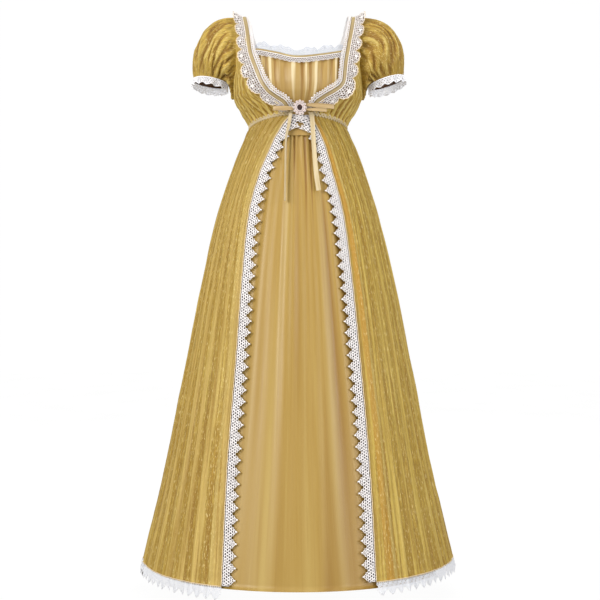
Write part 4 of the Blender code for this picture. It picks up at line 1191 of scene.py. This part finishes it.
def pointedLace(pitch):
    p = Pattern()
    half, cells = pitch / 2, 4
    wide = pitch / cells
    p.line((0, 3.9), (pitch, 3.9), 1.3, 4, 0.25)
    for i in range(8):
        u = (i + 0.5) * pitch / 8
        p.line((u, 0.8), (u, 4.2), 0.8, 1)
    for j in range(3):
        low = 4.3 + 5.1 * j
        shift = wide / 2 if j % 2 else 0.0
        for i in range(cells):
            left = i * wide + shift
            p.cell(left, left + wide, low, low + 5.1, 1.5 if (i + j) % 3 == 0 else 1.05, 0.15 * (i % 2))
            p.line((left, low + 0.6), (left, low + 4.5), 3.1, 1)
    for count, size, low in ((3, 6.5, 19.4), (1, 8.6, 24.0)):
        left = half - count * size / 2
        for i in range(count):
            p.cell(left + i * size, left + (i + 1) * size, low, low + 5.2, 1.35, 0.1)
        p.line((half, low + 0.4), (half, low + 4.4), 0.8, 1)
    p.leaf(half, 30.8, 5.6, 4.6, math.pi / 2, 8, 0.1)
    p.leaf(half - 5.2, 25.4, 3.4, 2.6, math.pi / 2, 6)
    p.leaf(half + 5.2, 25.4, 3.4, 2.6, math.pi / 2, 6)
    return p


def holeShadeStrip(name, shape, length, samples, reach, look, lace):  # dark sheet under a lace: painted shade, seen through its holes
    u, v = np.meshgrid(np.linspace(0, length, samples), np.linspace(0, 1, 4), indexing="ij")
    v = 0.0012 + (reach(u) - 0.0012) * v
    places = u.ravel(), v.ravel()
    grid = shape(*places, np.full(u.size, -0.0010)).reshape(*u.shape, 3)
    away = shape(*places, np.full(u.size, 0.01)).reshape(*u.shape, 3) - grid
    carry(wall(name, grid, -0.0003, look, np.stack([u, v], -1), away), lace)


def pointReach(u, length, count):
    aside = np.abs(u / length * count % 1 - 0.5) * edgeLace["pitch"]
    return 0.0186 + 0.0078 * np.clip((8.4 - aside) / 6.0, 0, 1)


cordPitch = 30.0  # of the cord along the edges' laces, in millimetres
edgeCord = Pattern()
edgeCord.line((0, 0.2), (cordPitch, 0.2), 1.8, 6, 0.2, True)


def addCord(name, length, shape, lace):
    count, squeeze = fitted(length, cordPitch)
    return carry(laceMesh(name, edgeCord, cordPitch, count, shape, creamCord, 1.0, squeeze), lace)


def edgePath(side):
    levels = np.linspace(gown["waist"] - 0.0045, gown["robeHem"] + 0.003, 900)
    return pathTable(gownPoint(openingAngle(side, levels), levels), levels[:, None])


def addFrontLaces():
    made = {}
    pattern = pointedLace(edgeLace["pitch"])
    for name, side, crossing in (("right", -1, 0.0030), ("left", 1, 0.0)):
        at, length = edgePath(side)
        count, squeeze = fitted(length, edgeLace["pitch"])

        def shape(u, v, h):
            level = at(u)[1][:, 0]
            edge = openingAngle(side, level)
            turn = 0.01
            beside = gownPoint(edge + turn, level) - gownPoint(edge - turn, level)
            wide = np.linalg.norm(beside, axis=-1) / (2 * turn)
            # broader near the top, where the two laces cross under the knot
            across = v * (1 + 0.55 * np.interp(u, [0.030, 0.045, 0.070], [1.0, 0.5, 0.0]))
            drape = ramp(across, 0.0, 0.030)
            wave = 0.0007 * np.sin(u * 62 + side) * drape + 0.0005 * np.sin(u * 141 + 2 * side)
            lift = edgeLace["lift"] + crossing * np.interp(u, [0.04, 0.09], [1.0, 0.0])
            lift = lift - 0.0016 * drape * ramp(u, 0.05, 0.15)
            return lifted(edge - side * across / wide, level, lift + wave + h)

        node = f"front_lace_{name}"
        pitch, thick = edgeLace["pitch"], edgeLace["thick"]
        lace = made[name] = addLace(node, pattern, pitch, count, shape, whiteLace, thick, squeeze)
        reach = lambda u, length=length, count=count: pointReach(u, length, count)
        # a dark sheet under the lace: painted shade in its holes
        holeShadeStrip(f"front_hole_shade_{name}", shape, length, count * 8 + 1, reach, laceShade, lace)
        addCord(f"front_cord_{name}", length, shape, lace)
    return made


hemLace = {"pitch": 24.5}


def hemPattern(pitch):
    p = Pattern()
    half, cells = pitch / 2, 4
    wide = pitch / cells
    p.line((0, 2.8), (pitch, 2.8), 1.0, 3, 0.25)
    for i in range(5):
        u = (i + 0.5) * pitch / 5
        p.line((u, 1.0), (u, 4.4), 1.2, 1)
    for j in range(3):
        low = 4.0 + 4.7 * j
        shift = wide / 2 if j % 2 else 0.0
        for i in range(cells):
            left = i * wide + shift
            p.cell(left, left + wide, low, low + 4.7, 2.2 if (i + j) % 2 else 1.6, 0.12 * (i % 2))
    for count, low in ((3, 18.0), (2, 22.4)):
        left = half - count * 5.4 / 2
        for i in range(count):
            p.cell(left + i * 5.4, left + (i + 1) * 5.4, low, low + 4.5, 1.9, 0.1)
    p.leaf(half, 28.4, 5.6, 4.2, math.pi / 2, 8, 0.1)
    for aside, v in ((half - 1.8, 18.6), (6.6, 23.4), (3.4, 27.2)):
        for u in (half - aside, half + aside):
            p.leaf(u, v, 3.0, 2.4, math.pi / 2, 6)
    return p


def addHemLaces():
    made = {}
    pattern = hemPattern(hemLace["pitch"])
    for name, (side, part, *_) in panels.items():
        start, end = (float(value) for value in panelEnds(side, part, gown["robeHem"]))
        share = np.linspace(0, 1, 700)
        angle = start + (end - start) * share
        level = np.full_like(angle, gown["robeHem"])
        base = lifted(angle, level, panelLift(name, share, level))
        at, length = pathTable(base, share[:, None], unit(np.gradient(base, axis=0)))
        count, squeeze = fitted(length, hemLace["pitch"])

        def shape(u, v, h):
            point, share, _ = at(u)
            angle = start + (end - start) * share[:, 0]
            upper = gownPoint(angle, gown["robeHem"] + 0.05, False)
            slope = unit(gownPoint(angle, gown["robeHem"], False) - upper)
            away = gownNormal(angle, gown["robeHem"] + 0 * angle)
            wave = 0.0010 * np.sin(u * 150) * ramp(v, 0.004, 0.03)
            return point + slope * (v - 0.002)[:, None] + away * (0.0013 + wave + h)[:, None]

        node = name.replace("skirt_back", "hem_lace_back").replace("skirt_front", "hem_lace")
        lace = made[node] = addLace(node, pattern, hemLace["pitch"], count, shape, blueLace, 0.9, squeeze)
        addCord(name.replace("skirt", "hem_cord"), length, shape, lace)
    return made


frontLaces = addFrontLaces()
hemLaces = addHemLaces()
print("edge and hem laces ready")


# Neck: ribbon along each edge, gathered ruffle outside it and narrow lace inside

neckTrim = {
    "frontEnd": -0.262,
    "backEnd": -0.120,
    "ribbon": 0.0098,
    "rufflePitch": 38.0,  # millimetres, as in all lace patterns
    "fullness": 1.3,
    "ruffleStart": 0.0085,
    "ruffleFoot": 0.0085,
    "ruffleHeight": 0.0280,
    "fluteHeight": 0.0080,
    "fluteLean": 0.0042,
    "innerPitch": 20.0,
    "innerStart": 0.010,
    "shoulderRise": (0.012, 0.004),  # how far ruffle and inner lace stand up on top of the shoulder
}


def neckPath(side, front):
    end = neckTrim["frontEnd"] if front else neckTrim["backEnd"]
    levels = end * np.linspace(0, 1, 500) ** 1.4
    angle = bodiceAngles(side, front, levels)[0]
    points, away = gownPoint(angle, levels), gownNormal(angle, levels)
    out = np.cross(away, np.gradient(points, axis=0)) * side * (1 if front else -1)
    return points, away, unit(out)


def smoothed(rows, times):
    for _ in range(times):
        rows[1:-1] = (rows[:-2] + 2 * rows[1:-1] + rows[2:]) / 4
    return rows


def neckTable(name):
    if name == "back":
        right, left = neckPath(-1, False), neckPath(1, False)
        points, away, out = (np.concatenate([r[:-1], l[::-1]]) for r, l in zip(right, left))
    else:
        side = -1 if name == "right" else 1
        points, away, out = neckPath(side, True)
        out[0] = (side, 0, 0)
    away, out = unit(smoothed(away, 30)), smoothed(out, 60)
    out = unit(out - away * (out * away).sum(-1, keepdims=True))
    return pathTable(points, away, out)


ruffleWidths = {  # the lace is broader beside the bust
    "right": ([0, 0.35, 0.50, 0.60, 0.70, 0.82, 1], [0.90, 0.90, 1.10, 1.38, 1.08, 0.76, 0.80]),
    "left": ([0, 0.40, 0.60, 0.70, 0.82, 1], [0.90, 0.97, 1.12, 1.10, 0.90, 0.80]),
    "back": ([0, 1], [0.80, 0.80]),
}


def ruffleEdge(u, pitch):
    lobe = abs(math.sin(math.pi * u / pitch)) ** 0.7
    return 15.6 + 10.4 * lobe + 2.0 * lobe * abs(math.sin(7 * math.pi * u / pitch))


def scallopReach(turn):
    return 0.0146 + 0.0104 * np.abs(np.sin(math.pi * turn)) ** 0.7


def rufflePattern(pitch):
    p = Pattern()
    heights = (3, 4, 5, 5, 5, 5, 4, 3)  # cells in each column of a scallop
    wide = pitch / len(heights)
    p.line((0, 0.7), (pitch, 0.7), 1.3, 6, 0.2, True)
    for i, rows in enumerate(heights):
        u = (i + 0.5) * wide
        tall = (ruffleEdge(u, pitch) - 2.4) / rows
        for j in range(rows):
            low = 1.2 + j * tall
            p.cell(u - wide / 2, u + wide / 2, low, low + tall, 1.1 if (i + j) % 2 else 0.75, 0.1)
    for x in np.linspace(0, pitch, 15, endpoint=False):
        p.leaf(x + 1.6, ruffleEdge(x + 1.6, pitch) - 1.2, 2.8, 2.2, math.pi / 2, 6)
    p.flower(pitch / 2, 18.0, 4.2, 6, 0.2)
    for share, turn in ((0.26, 0.6), (0.76, 0.1)):
        p.flower(pitch * share, 11.0, 3.2, 5, turn)
    return p


def ruffleCord(pitch):
    p = Pattern()
    p.cord([(x, ruffleEdge(x, pitch) - 0.2) for x in np.linspace(0, pitch, 36)], 1.4, raised=0.3, tape=True)
    return p


def innerPattern(pitch):
    p = Pattern()
    p.line((0, 0.5), (pitch, 0.5), 1.1, 5, 0.1, True)
    wide = pitch / 3
    for left in wide * np.arange(3):
        p.cell(left, left + wide, 0.9, 4.9, 1.15)
        p.cell(left + wide / 2, left + 1.5 * wide, 4.6, 8.0, 1.15)
        p.leaf(left + wide, 8.6, 2.6, 3.2, math.pi / 2, 6)
    return p


def addNeckTrims():
    made = {}
    flat, pitch = neckTrim["rufflePitch"] * neckTrim["fullness"], neckTrim["innerPitch"]
    ruffles, cords, inner = rufflePattern(flat), ruffleCord(flat), innerPattern(pitch)
    for name in ("right", "left", "back"):
        at, length = neckTable(name)
        lift = gown["clothRoom"] + 2 * gown["seam"]

        # ribbon
        s = np.linspace(0, length, 220)[:, None]
        points, away, out = (part[:, None, :] for part in at(s[:, 0]))
        across = np.linspace(0, neckTrim["ribbon"], 5)[None, :]
        roll = 0.0003 * np.sin(s * 190) + 0.0003 * np.sin(across / neckTrim["ribbon"] * math.pi)
        grid = points + out * across[..., None] + away * (lift + 0.0003 + roll)[..., None]
        node = f"neck_ribbon_{name}"
        away = np.broadcast_to(away, grid.shape)
        made[node] = sewn(node, "ribbon", grid, 0.0006, darkRibbon, spread(across, s), away=away)

        # ruffle
        first = 0.0 if name == "back" else neckTrim["ruffleStart"]
        reach = length - first
        count, squeeze = fitted(reach, neckTrim["rufflePitch"])
        wide = neckTrim["rufflePitch"] * squeeze / 1000

        def ruffleShape(u, v, h):
            s = first + u
            points, away, out = at(s)
            t = np.clip(v / neckTrim["ruffleHeight"], 0, 1.1)
            swell = np.ones_like(s)
            if name != "back":
                swell = np.interp((s - first) / reach, [0.0, 0.15, 0.7, 1.0], [0.9, 1.0, 0.85, 0.2])
            turn = u / wide
            phase = 2 * math.pi * turn + math.pi + 0.5 * np.sin(turn * 1.7)
            along = unit(np.cross(away, out))
            flute = (1 + np.cos(phase)) / 2
            uneven = 1 + 0.25 * np.sin(turn * 2.1 + 1)
            lean = neckTrim["fluteLean"] * np.sin(phase) * t * uneven * (-1 if name == "left" else 1)
            high = 0.0014 + swell * (0.0015 * t + neckTrim["fluteHeight"] * uneven * flute * t ** 1.3)
            broad = np.interp((s - first) / reach, *ruffleWidths[name])
            reachOut = neckTrim["ruffleFoot"] + v * 0.95 * broad
            if name != "back":
                high = high + t * np.interp(s, [0.010, 0.040], [neckTrim["shoulderRise"][0], 0.0])
            points = points + out * reachOut[:, None] + along * lean[:, None]
            return points + away * (lift + high + h)[:, None]

        node = f"ruffle_{name}"
        gathered = squeeze / neckTrim["fullness"]
        threads = made[node] = addLace(node, ruffles, flat, count, ruffleShape, netLace, 0.55, gathered)
        scallop = lambda u: scallopReach(u / wide % 1)
        # a dark sheet under the ruffle: painted shade in its holes
        holeShadeStrip(f"ruffle_hole_shade_{name}", ruffleShape, reach, count * 10 + 1, scallop, holeShadeNet, threads)
        cord = laceMesh(f"ruffle_cord_{name}", cords, flat, count, ruffleShape, creamCord, 0.8, gathered)
        carry(cord, threads)

        # inner lace
        start = 0.0 if name == "back" else neckTrim["innerStart"]
        count, squeeze = fitted(length - start, pitch)

        def innerShape(u, v, h):
            points, away, out = at(start + u)
            v = v * (1.0 if name == "back" else np.interp(start + u, [0.12, 0.17, 0.30], [1.0, 1.45, 1.6]))
            t = v / 0.008
            high = 0.0006 + 0.0016 * t + 0.0007 * np.sin(u * 220) * t
            if name != "back":
                rise = np.interp(start + u, [0.010, 0.035], [neckTrim["shoulderRise"][1], 0.0])
                high = high + rise * t
            return points - out * (v + 0.0004)[:, None] + away * (high + h)[:, None]

        node = f"inner_lace_{name}"
        made[node] = addLace(node, inner, pitch, count, innerShape, whiteLace, 0.6, squeeze)
    return made


neckPieces = addNeckTrims()
print("neck trims ready")


# Insert's neckline: rolled satin edge, scalloped lace under it and standing frill over it

necklineTrim = {"start": math.radians(-35), "end": math.radians(38), "binding": 0.0050}


def necklineTable():
    angle = np.linspace(necklineTrim["start"], necklineTrim["end"], 400)
    return pathTable(gownPoint(angle, neckline(angle)), angle[:, None])


def addNeckline():
    made = {}
    at, length = necklineTable()
    depth = gown["insertDepth"]

    # rolled edge
    t = turns(12)[:, None]
    s = np.linspace(0, length, 220)[None, :]
    angle = at(s[0])[1][:, 0][None, :]
    height = 0.0006 + necklineTrim["binding"] / 2 * (1 + np.sin(t))
    wrinkle = 0.00012 * np.sin(s * 900) + 0.0001 * np.sin(s * 610)
    lift = -depth - gown["clothRoom"] + 0.00125 * (1 + np.cos(t)) + wrinkle
    angle, level = np.broadcast_arrays(angle, neckline(angle) + height)
    grid = lifted(angle, level, lift)
    uv = spread(s.T, np.linspace(0, 0.013, 13))
    roll = tubes("neck_binding_cloth", [np.swapaxes(grid, 0, 1)], binding, uv)
    made["binding"] = place(roll, "satin", "neck_binding")

    # lace band under the rolled edge
    band = Pattern()
    pitch = 12.0
    band.line((0, 0.6), (pitch, 0.6), 1.3, 3, 0.2, True)
    for k in range(2):
        band.cell(6 * k, 6 * k + 6, 0.9, 5.4, 0.8)
        band.cell(6 * k + 3, 6 * k + 9, 5.0, 9.2, 0.8)
    turn = np.linspace(0, math.pi, 7)
    band.cord(np.stack([pitch / 2 - pitch / 2 * np.cos(turn), 8.6 + 4.2 * np.sin(turn)], -1), 1.3, tape=True)
    band.flower(pitch / 2, 10.0, 2.2, 5, 0.3)
    count, squeeze = fitted(length, pitch)

    def bandShape(u, v, h):
        angle = at(u)[1][:, 0]
        wave = 0.0004 * np.sin(u * 260) * v / 0.012
        return lifted(angle, neckline(angle) - 0.0004 - v, -depth + 0.0012 + wave + h)

    made["band"] = addLace("neck_lace_band", band, pitch, count, bandShape, whiteLace, 0.6, squeeze)
    # a dark sheet under the band: painted shade in its holes
    holeShadeStrip("neck_hole_shade", bandShape, length, 120, lambda u: 0.0098 + 0 * u, holeShadeNet, made["band"])

    # standing frill
    frill = Pattern()
    pitch = 26.0
    top = lambda u: 13.0 + 3.6 * abs(math.sin(math.pi * u / pitch)) ** 0.8
    for i in range(6):
        u = (i + 0.5) * pitch / 6
        for j in range(3):
            tall = (top(u) - 1.6) / 3
            frill.cell(u - pitch / 12, u + pitch / 12, 0.8 + j * tall, 0.8 + (j + 1) * tall, 0.95)
            frill.line((u - 1.6, 0.8 + (j + 0.5) * tall), (u + 1.6, 0.8 + (j + 0.5) * tall), 0.5, 1)
    u = np.linspace(0, pitch, 13)
    frill.cord([(x, top(x) - 0.6) for x in u], 1.4, raised=0.1, tape=True)
    frill.line((0, 0.4), (pitch, 0.4), 1.0, 6)
    frill.flower(pitch / 2, 10.0, 3.2, 6, 0.0)
    for x in np.linspace(0, pitch, 9, endpoint=False):
        frill.leaf(x + 1.4, top(x + 1.4) + 0.4, 2.0, 1.5, math.pi / 2, 6)
    count = round(length * 1000 / (pitch * 0.8))
    squeeze = length * 1000 / (count * pitch)
    foot = necklineTrim["binding"] + 6 * gown["seam"]

    def frillShape(u, v, h):
        angle = at(u)[1][:, 0]
        ends = np.clip(np.minimum(u, length - u) / 0.02, 0, 1)
        wave = (0.0022 + 0.0022 * np.sin(2 * math.pi * u / 0.0205)) * ends * v / 0.0165
        high = 0.55 + 0.62 * np.abs(np.sin(math.pi * (u / 0.052 + 0.12 * np.sin(u * 37)))) ** 0.8
        v = v * high * (0.75 + 0.25 * ends)
        return lifted(angle, neckline(angle) + foot + v, -depth - gown["clothRoom"] + wave + h)

    made["frill"] = addLace("neck_frill", frill, pitch, count, frillShape, mistLace, 0.5, squeeze)
    return made


def tubes(name, grids, material, uv=None):  # closed tubes through rings of points
    points, faces, places, base = [], [], [], 0
    for grid in grids:
        rings, sides = grid.shape[:2]
        i, k = np.arange(rings - 1)[:, None], np.arange(sides)[None, :]

        def quads(wide, after):
            low, high = i * wide, (i + 1) * wide
            return np.stack([low + k, low + after, high + after, high + k], -1).reshape(-1, 4)

        faces.append(quads(sides, (k + 1) % sides) + base)
        if uv is None:
            places.append(np.repeat(spread(k * 0.001, i * 0.0016).reshape(-1, 1, 2), 4, axis=1))
        else:
            places.append(uv.reshape(-1, 2)[quads(sides + 1, k + 1)])
        n = rings * sides
        side = np.arange(sides)
        after = (side + 1) % sides
        faces.append(np.stack([after, side, np.full(sides, n)], -1) + base)
        faces.append(np.stack([n - sides + side, n - sides + after, np.full(sides, n + 1)], -1) + base)
        places += [np.zeros((sides, 3, 2))] * 2
        points += [grid.reshape(-1, 3), grid[:1].mean(axis=1), grid[-1:].mean(axis=1)]
        base += n + 2
    return makeObject(name, np.concatenate(points), faces, material, places)


necklinePieces = addNeckline()
print("neckline ready")


# Cuff lace: a gathered flounce round each arm

cuffLace = {
    "radius": 45.5,  # millimetres
    "flutes": 14,
    "fullness": 1.5,
    "foot": 0.0092,
    "frontRise": 0.0105,  # the lace starts higher in front, where it lies over the band
    "fluteHeight": 0.0044,
}


def addCuffLaces():
    made = {}
    around = 2 * math.pi * cuffLace["radius"]
    flat = around / cuffLace["flutes"] * cuffLace["fullness"]
    p = Pattern()
    edge = lambda u: 15.2 + 5.0 * abs(math.sin(math.pi * u / flat)) ** 0.8
    cells = 6
    wide = flat / cells
    p.line((0, 0.7), (flat, 0.7), 1.4, 6, 0.2, True)
    for i in range(cells):
        u = (i + 0.5) * wide
        tall = (edge(u) - 2.4) / 3
        for j in range(3):
            low = 1.2 + j * tall
            p.cell(u - wide / 2, u + wide / 2, low, low + tall, 1.9 if (i + j) % 2 else 1.4)
    u = np.linspace(0, flat, 13)
    p.cord([(x, edge(x) - 0.8) for x in u], 1.8, raised=0.3, tape=True)
    for x in np.linspace(0, flat, 9, endpoint=False):
        p.leaf(x + 1.6, edge(x + 1.6) + 0.3, 2.4, 1.8, math.pi / 2, 6)
    for name, side in (("right", -1), ("left", 1)):

        def shape(u, v, h):
            turn = u * 1000 / around
            circle = 2 * math.pi * turn
            front = (1 + np.sin(circle)) / 2
            phase = circle * cuffLace["flutes"] + 0.9 * np.sin(2 * circle + side)
            t = np.clip(v / 0.020, 0, 1.1)
            flute = 0.0016 - 0.0010 * front + cuffLace["fluteHeight"] * np.cos(phase)
            growth = 0.0008 + 0.0050 * front + flute * t ** 1.2 - 0.0030 * np.clip(np.cos(circle), 0, 1) * t
            lean = 0.020 * np.sin(phase) * t / (2 * math.pi)
            drop = cuffLace["foot"] - cuffLace["frontRise"] * front + v * (1.0 - 0.06 * front)
            return cuffPoint(side, turn + lean, drop, growth + h)

        squeeze, flutes = 1 / cuffLace["fullness"], cuffLace["flutes"]
        made[name] = addLace(f"cuff_lace_{name}", p, flat, flutes, shape, cuffThread, 0.6, squeeze)
    return made


cuffLaces = addCuffLaces()
print("cuff laces ready")


# Braid on the waist seam: two ribbon strands twisted round each other

braid = {"lift": 0.0038, "twist": 0.0160, "reach": 0.0036, "halfWidth": 0.0031, "halfDepth": 0.0013}


def addBraids():
    made = {}
    for name, start, end in (("right", -90, -9), ("left", 16, 90), ("back", 90, 270)):
        angle = np.radians(np.linspace(start + 0.15, end - 0.15, 900))
        level = np.full_like(angle, gown["waist"])
        points = gownPoint(angle, level)
        at, length = pathTable(points, gownNormal(angle, level))
        s = np.linspace(0, length, round(length / 0.0016))
        middle, away = at(s)
        along = unit(np.gradient(middle, axis=0))
        up = unit(np.cross(along, away))
        parts = []
        for strand in (0, 1):
            phase = 2 * math.pi * s / braid["twist"] + strand * math.pi
            high = braid["lift"] - 0.0006 + 0.0007 * np.cos(phase)
            centre = middle + up * (np.sin(phase) * braid["reach"])[:, None] + away * high[:, None]
            turn = turns(6)[None, :, None]
            ring = centre[:, None] + up[:, None] * braid["halfWidth"] * np.cos(turn)
            parts.append(ring + away[:, None] * braid["halfDepth"] * np.sin(turn))
        node = f"waist_braid_{name}"
        made[name] = place(tubes(node + "_cloth", parts, paleRibbon), "ribbon", node)
    return made


braids = addBraids()
print("braids ready")


# Bow: loops, knot and tails, with a pierced brooch over the knot

bow = {  # middle of the knot's back, then each loop's start, end, height and depth
    "knot": (0.006, -0.1155, -0.2434),
    "right": ((-0.0045, -0.1205, -0.2455), (-0.0600, -0.1205, -0.2440), 0.011, 0.0065),
    "left": ((0.0165, -0.1205, -0.2360), (0.0880, -0.1115, -0.2385), 0.011, 0.0065),
    "small": ((0.0160, -0.1205, -0.2474), (0.0700, -0.1165, -0.2478), 0.008, 0.0055),
}
knotRings = columns(
    "size forward",
    (0.70, 0.0), (0.92, 0.0008), (1.0, 0.0025), (1.0, 0.006), (0.9, 0.0082), (0.66, 0.009),
)
tailLeft = columns(
    "x level lift wideX wideY wideZ",
    (0.0270, -0.2604, 0.0183, 0.011, 0.001, 0.0),
    (0.0320, -0.290, 0.0100, 0.011, 0.0, 0.002),
    (0.0370, -0.340, 0.0070, 0.011, 0.0, 0.002),
    (0.0420, -0.400, 0.0060, 0.011, 0.0, 0.002),
    (0.0480, -0.446, 0.0060, 0.011, 0.0, 0.002),
)
tailRight = columns(
    "x level lift wideX wideY wideZ",
    (-0.0125, -0.2569, 0.0148, 0.0095, 0.0, 0.0),
    (-0.0200, -0.300, 0.0115, 0.0080, -0.006, 0.0),
    (-0.0270, -0.332, 0.0110, 0.0045, -0.009, 0.0),
    (-0.0290, -0.400, 0.0085, 0.0040, -0.009, 0.0),
    (-0.0294, -0.472, 0.0080, 0.0040, -0.009, 0.0),
)


def addLoop(name, start, end, height, depth):
    start, end = np.array(start), np.array(end)
    length = np.linalg.norm(end - start)
    along = (end - start) / length
    up = np.array([0.0, 0.0, 1.0])
    up = unit(up - along * (up @ along))
    back = np.cross(along, up)
    turn, across = np.broadcast_arrays(turns(72), np.linspace(-0.5, 0.5, 9)[:, None])
    reach = rounded(np.cos(turn), 2.4) * (length / 2 - 0.0006)
    far = (np.cos(turn) + 1) / 2  # 0 at the knot, 1 at the loop's far end
    wide = height * (0.55 + 0.45 * ramp(far, 0.0, 0.5))
    swing = np.sin(turn) * (depth / 2 - 0.0006) * (0.75 + 0.25 * far)
    crease = 0.0005 * np.sin(across * 9 + 3) * (1 - far) + 0.0004 * np.sin(across * 5) * far
    droop = -0.0012 * far ** 2 * (1 if start[0] > 0 else 0.6)
    grid = (start + end) / 2 + along * reach[..., None] + back * (swing + crease)[..., None]
    grid = grid + up * (across * wide + droop)[..., None]
    uv = spread(np.linspace(0, height, 9)[:, None], np.linspace(0, 2 * length, 73))
    return sewn(name, "ribbon", grid, -0.0006, ribbon, uv, away=grid - (start + end) / 2, ring=True)


def addTail(name, rows):
    t = np.linspace(0, 1, 60)
    knots = np.linspace(0, 1, len(rows))
    row = {key: smoothAt(t, knots, rows[key]) for key in rows.dtype.names}
    middle = lifted(angleAt(row["x"], row["level"]), row["level"], row["lift"])
    wide = np.stack([row["wideX"], row["wideY"], row["wideZ"]], -1)
    across = np.linspace(-0.5, 0.5, 9)[:, None, None]
    away = unit(np.cross(wide, np.gradient(middle, axis=0)))
    away = np.where(away[:, 1:2] > 0, -away, away)
    cup = 0.0007 * (1 - (2 * across) ** 2) * np.sin(9 * t + 1)[:, None]
    grid = middle + wide * across + away * cup
    length = np.linalg.norm(np.diff(middle, axis=0), axis=1).sum()
    uv = spread(np.linspace(0, 0.011, 9)[:, None], t * length)
    away = np.broadcast_to(away, grid.shape)
    return sewn(name, "ribbon", grid - away * 0.0003, 0.0006, paleRibbon, uv, away=away)


def addBow():
    made = {}
    for name in ("right", "left", "small"):
        made[name] = addLoop(f"bow_loop_{name}", *bow[name])
    for name, rows in (("left", tailLeft), ("right", tailRight)):
        made["tail_" + name] = addTail(f"bow_tail_{name}", rows)
    x, back, z = bow["knot"]
    turn = turns(40)
    rings = []
    for share, forward in knotRings:
        size = share * (1 + 0.04 * np.sin(7 * turn) * (forward > 0))
        across, up = rounded(np.cos(turn), 3.0) * 0.010 * size, rounded(np.sin(turn), 3.0) * 0.008 * size
        rings.append(np.stack([x + across, np.full(40, back - forward), z + up], -1))
    uv = spread(np.linspace(0, 0.06, 41), np.linspace(0, 0.01, 6)[:, None])
    made["knot"] = place(tubes("bow_knot_cloth", [np.array(rings)], ribbon, uv), "ribbon", "bow_knot")
    return made


def addBrooch():
    def look(name, scale, low, base, shade, glow=0.0, **rest):
        n = Nodes(name)
        tone = n.layered(paint(*base), ((n.noise(n.spot, scale), low, 0.7, 1.0, paint(*shade)),))
        glowing = {"Emission Color": tone, "Emission Strength": glow} if glow else {}
        return n.finish(**{"Base Color": tone}, **rest, **glowing)

    satiny, bright = {"Metallic": 0.10, "Roughness": 0.28}, {"Roughness": 0.08, "Coat Weight": 0.6}
    glassy = {"Roughness": 0.05, "Coat Weight": 1.0, "Coat Roughness": 0.03}
    # the metal glows faintly: painted light
    metal = look("broochMetal", 700, 0.3, (255, 248, 246), (236, 214, 208), 0.10, **satiny)
    pale = look("paleStones", 900, 0.3, (255, 250, 248), (244, 214, 208), **bright)
    stone = look("darkStone", 300, 0.35, (26, 12, 10), (70, 30, 18), **glassy)

    x, back, z = bow["knot"]
    x = x - 0.0015
    front = back - 0.009 - gown["seam"]
    p = Pattern()
    p.ring(0, 0, 6.3, 1.8, 24, 1.12, 0.8)
    p.ring(0, 0, 10.2, 1.4, 24, 1.14, 0.3)
    disc = Pattern()
    disc.leaf(0, 0, 25.5, 29.5, 0.0, 32, 0.0)
    # a dark plate behind the pierced metal: painted shade seen through its holes
    dark = threadLook("broochHoleShade", (74, 52, 58), (40, 26, 30), 0.4)
    beads = Pattern()
    for a in turns(12):
        c, s = math.cos(a), math.sin(a)
        p.ring(12.2 * c, 14.1 * s, 2.1, 1.3, 10)
        p.line((6.8 * c, 7.7 * s), (10.4 * c, 11.9 * s), 1.2, 1, 0.3)
        beads.leaf(12.2 * c, 14.1 * s, 2.4, 2.4, a, 8, raised=0.7)
        c, s = math.cos(a + math.pi / 12), math.sin(a + math.pi / 12)
        beads.leaf(8.4 * c, 9.4 * s, 2.9, 2.9, a, 8, raised=0.6)

    def flat(u, v, h):
        return np.stack([x + u * 1.14, front - h - 0.0002, z + v * 1.10], -1)

    rim = place(laceMesh("brooch_metal", p, 0, 1, flat, metal, 1.0), "brooch_metal", "brooch")
    # painted shade behind the metal's holes
    plate = carry(laceMesh("brooch_hole_shade", disc, 0, 1, flat, dark, 0.3), rim)
    gems = carry(laceMesh("brooch_beads", beads, 0, 1, flat, pale, 1.1), rim)
    # the stone, cut to a diamond shape
    rings = []
    turn = turns(8)
    u, v = (np.abs(wave) ** 1.4 * np.sign(wave) / 1000 for wave in (np.cos(turn), np.sin(turn)))
    for wide, tall, forward in ((5.0, 6.2, 0.4), (5.6, 7.0, 1.6), (5.2, 6.4, 2.6), (3.0, 3.8, 4.2)):
        rings.append(flat(u * wide, v * tall, np.full(8, forward / 1000)))
    gem = tubes("brooch_stone_cut", [np.array(rings)], stone)
    gem.data.shade_flat()
    place(gem, "stone", "brooch_stone")
    return rim, plate, gems, gem


bowPieces = addBow()
broochPieces = addBrooch()
print("bow and brooch ready")
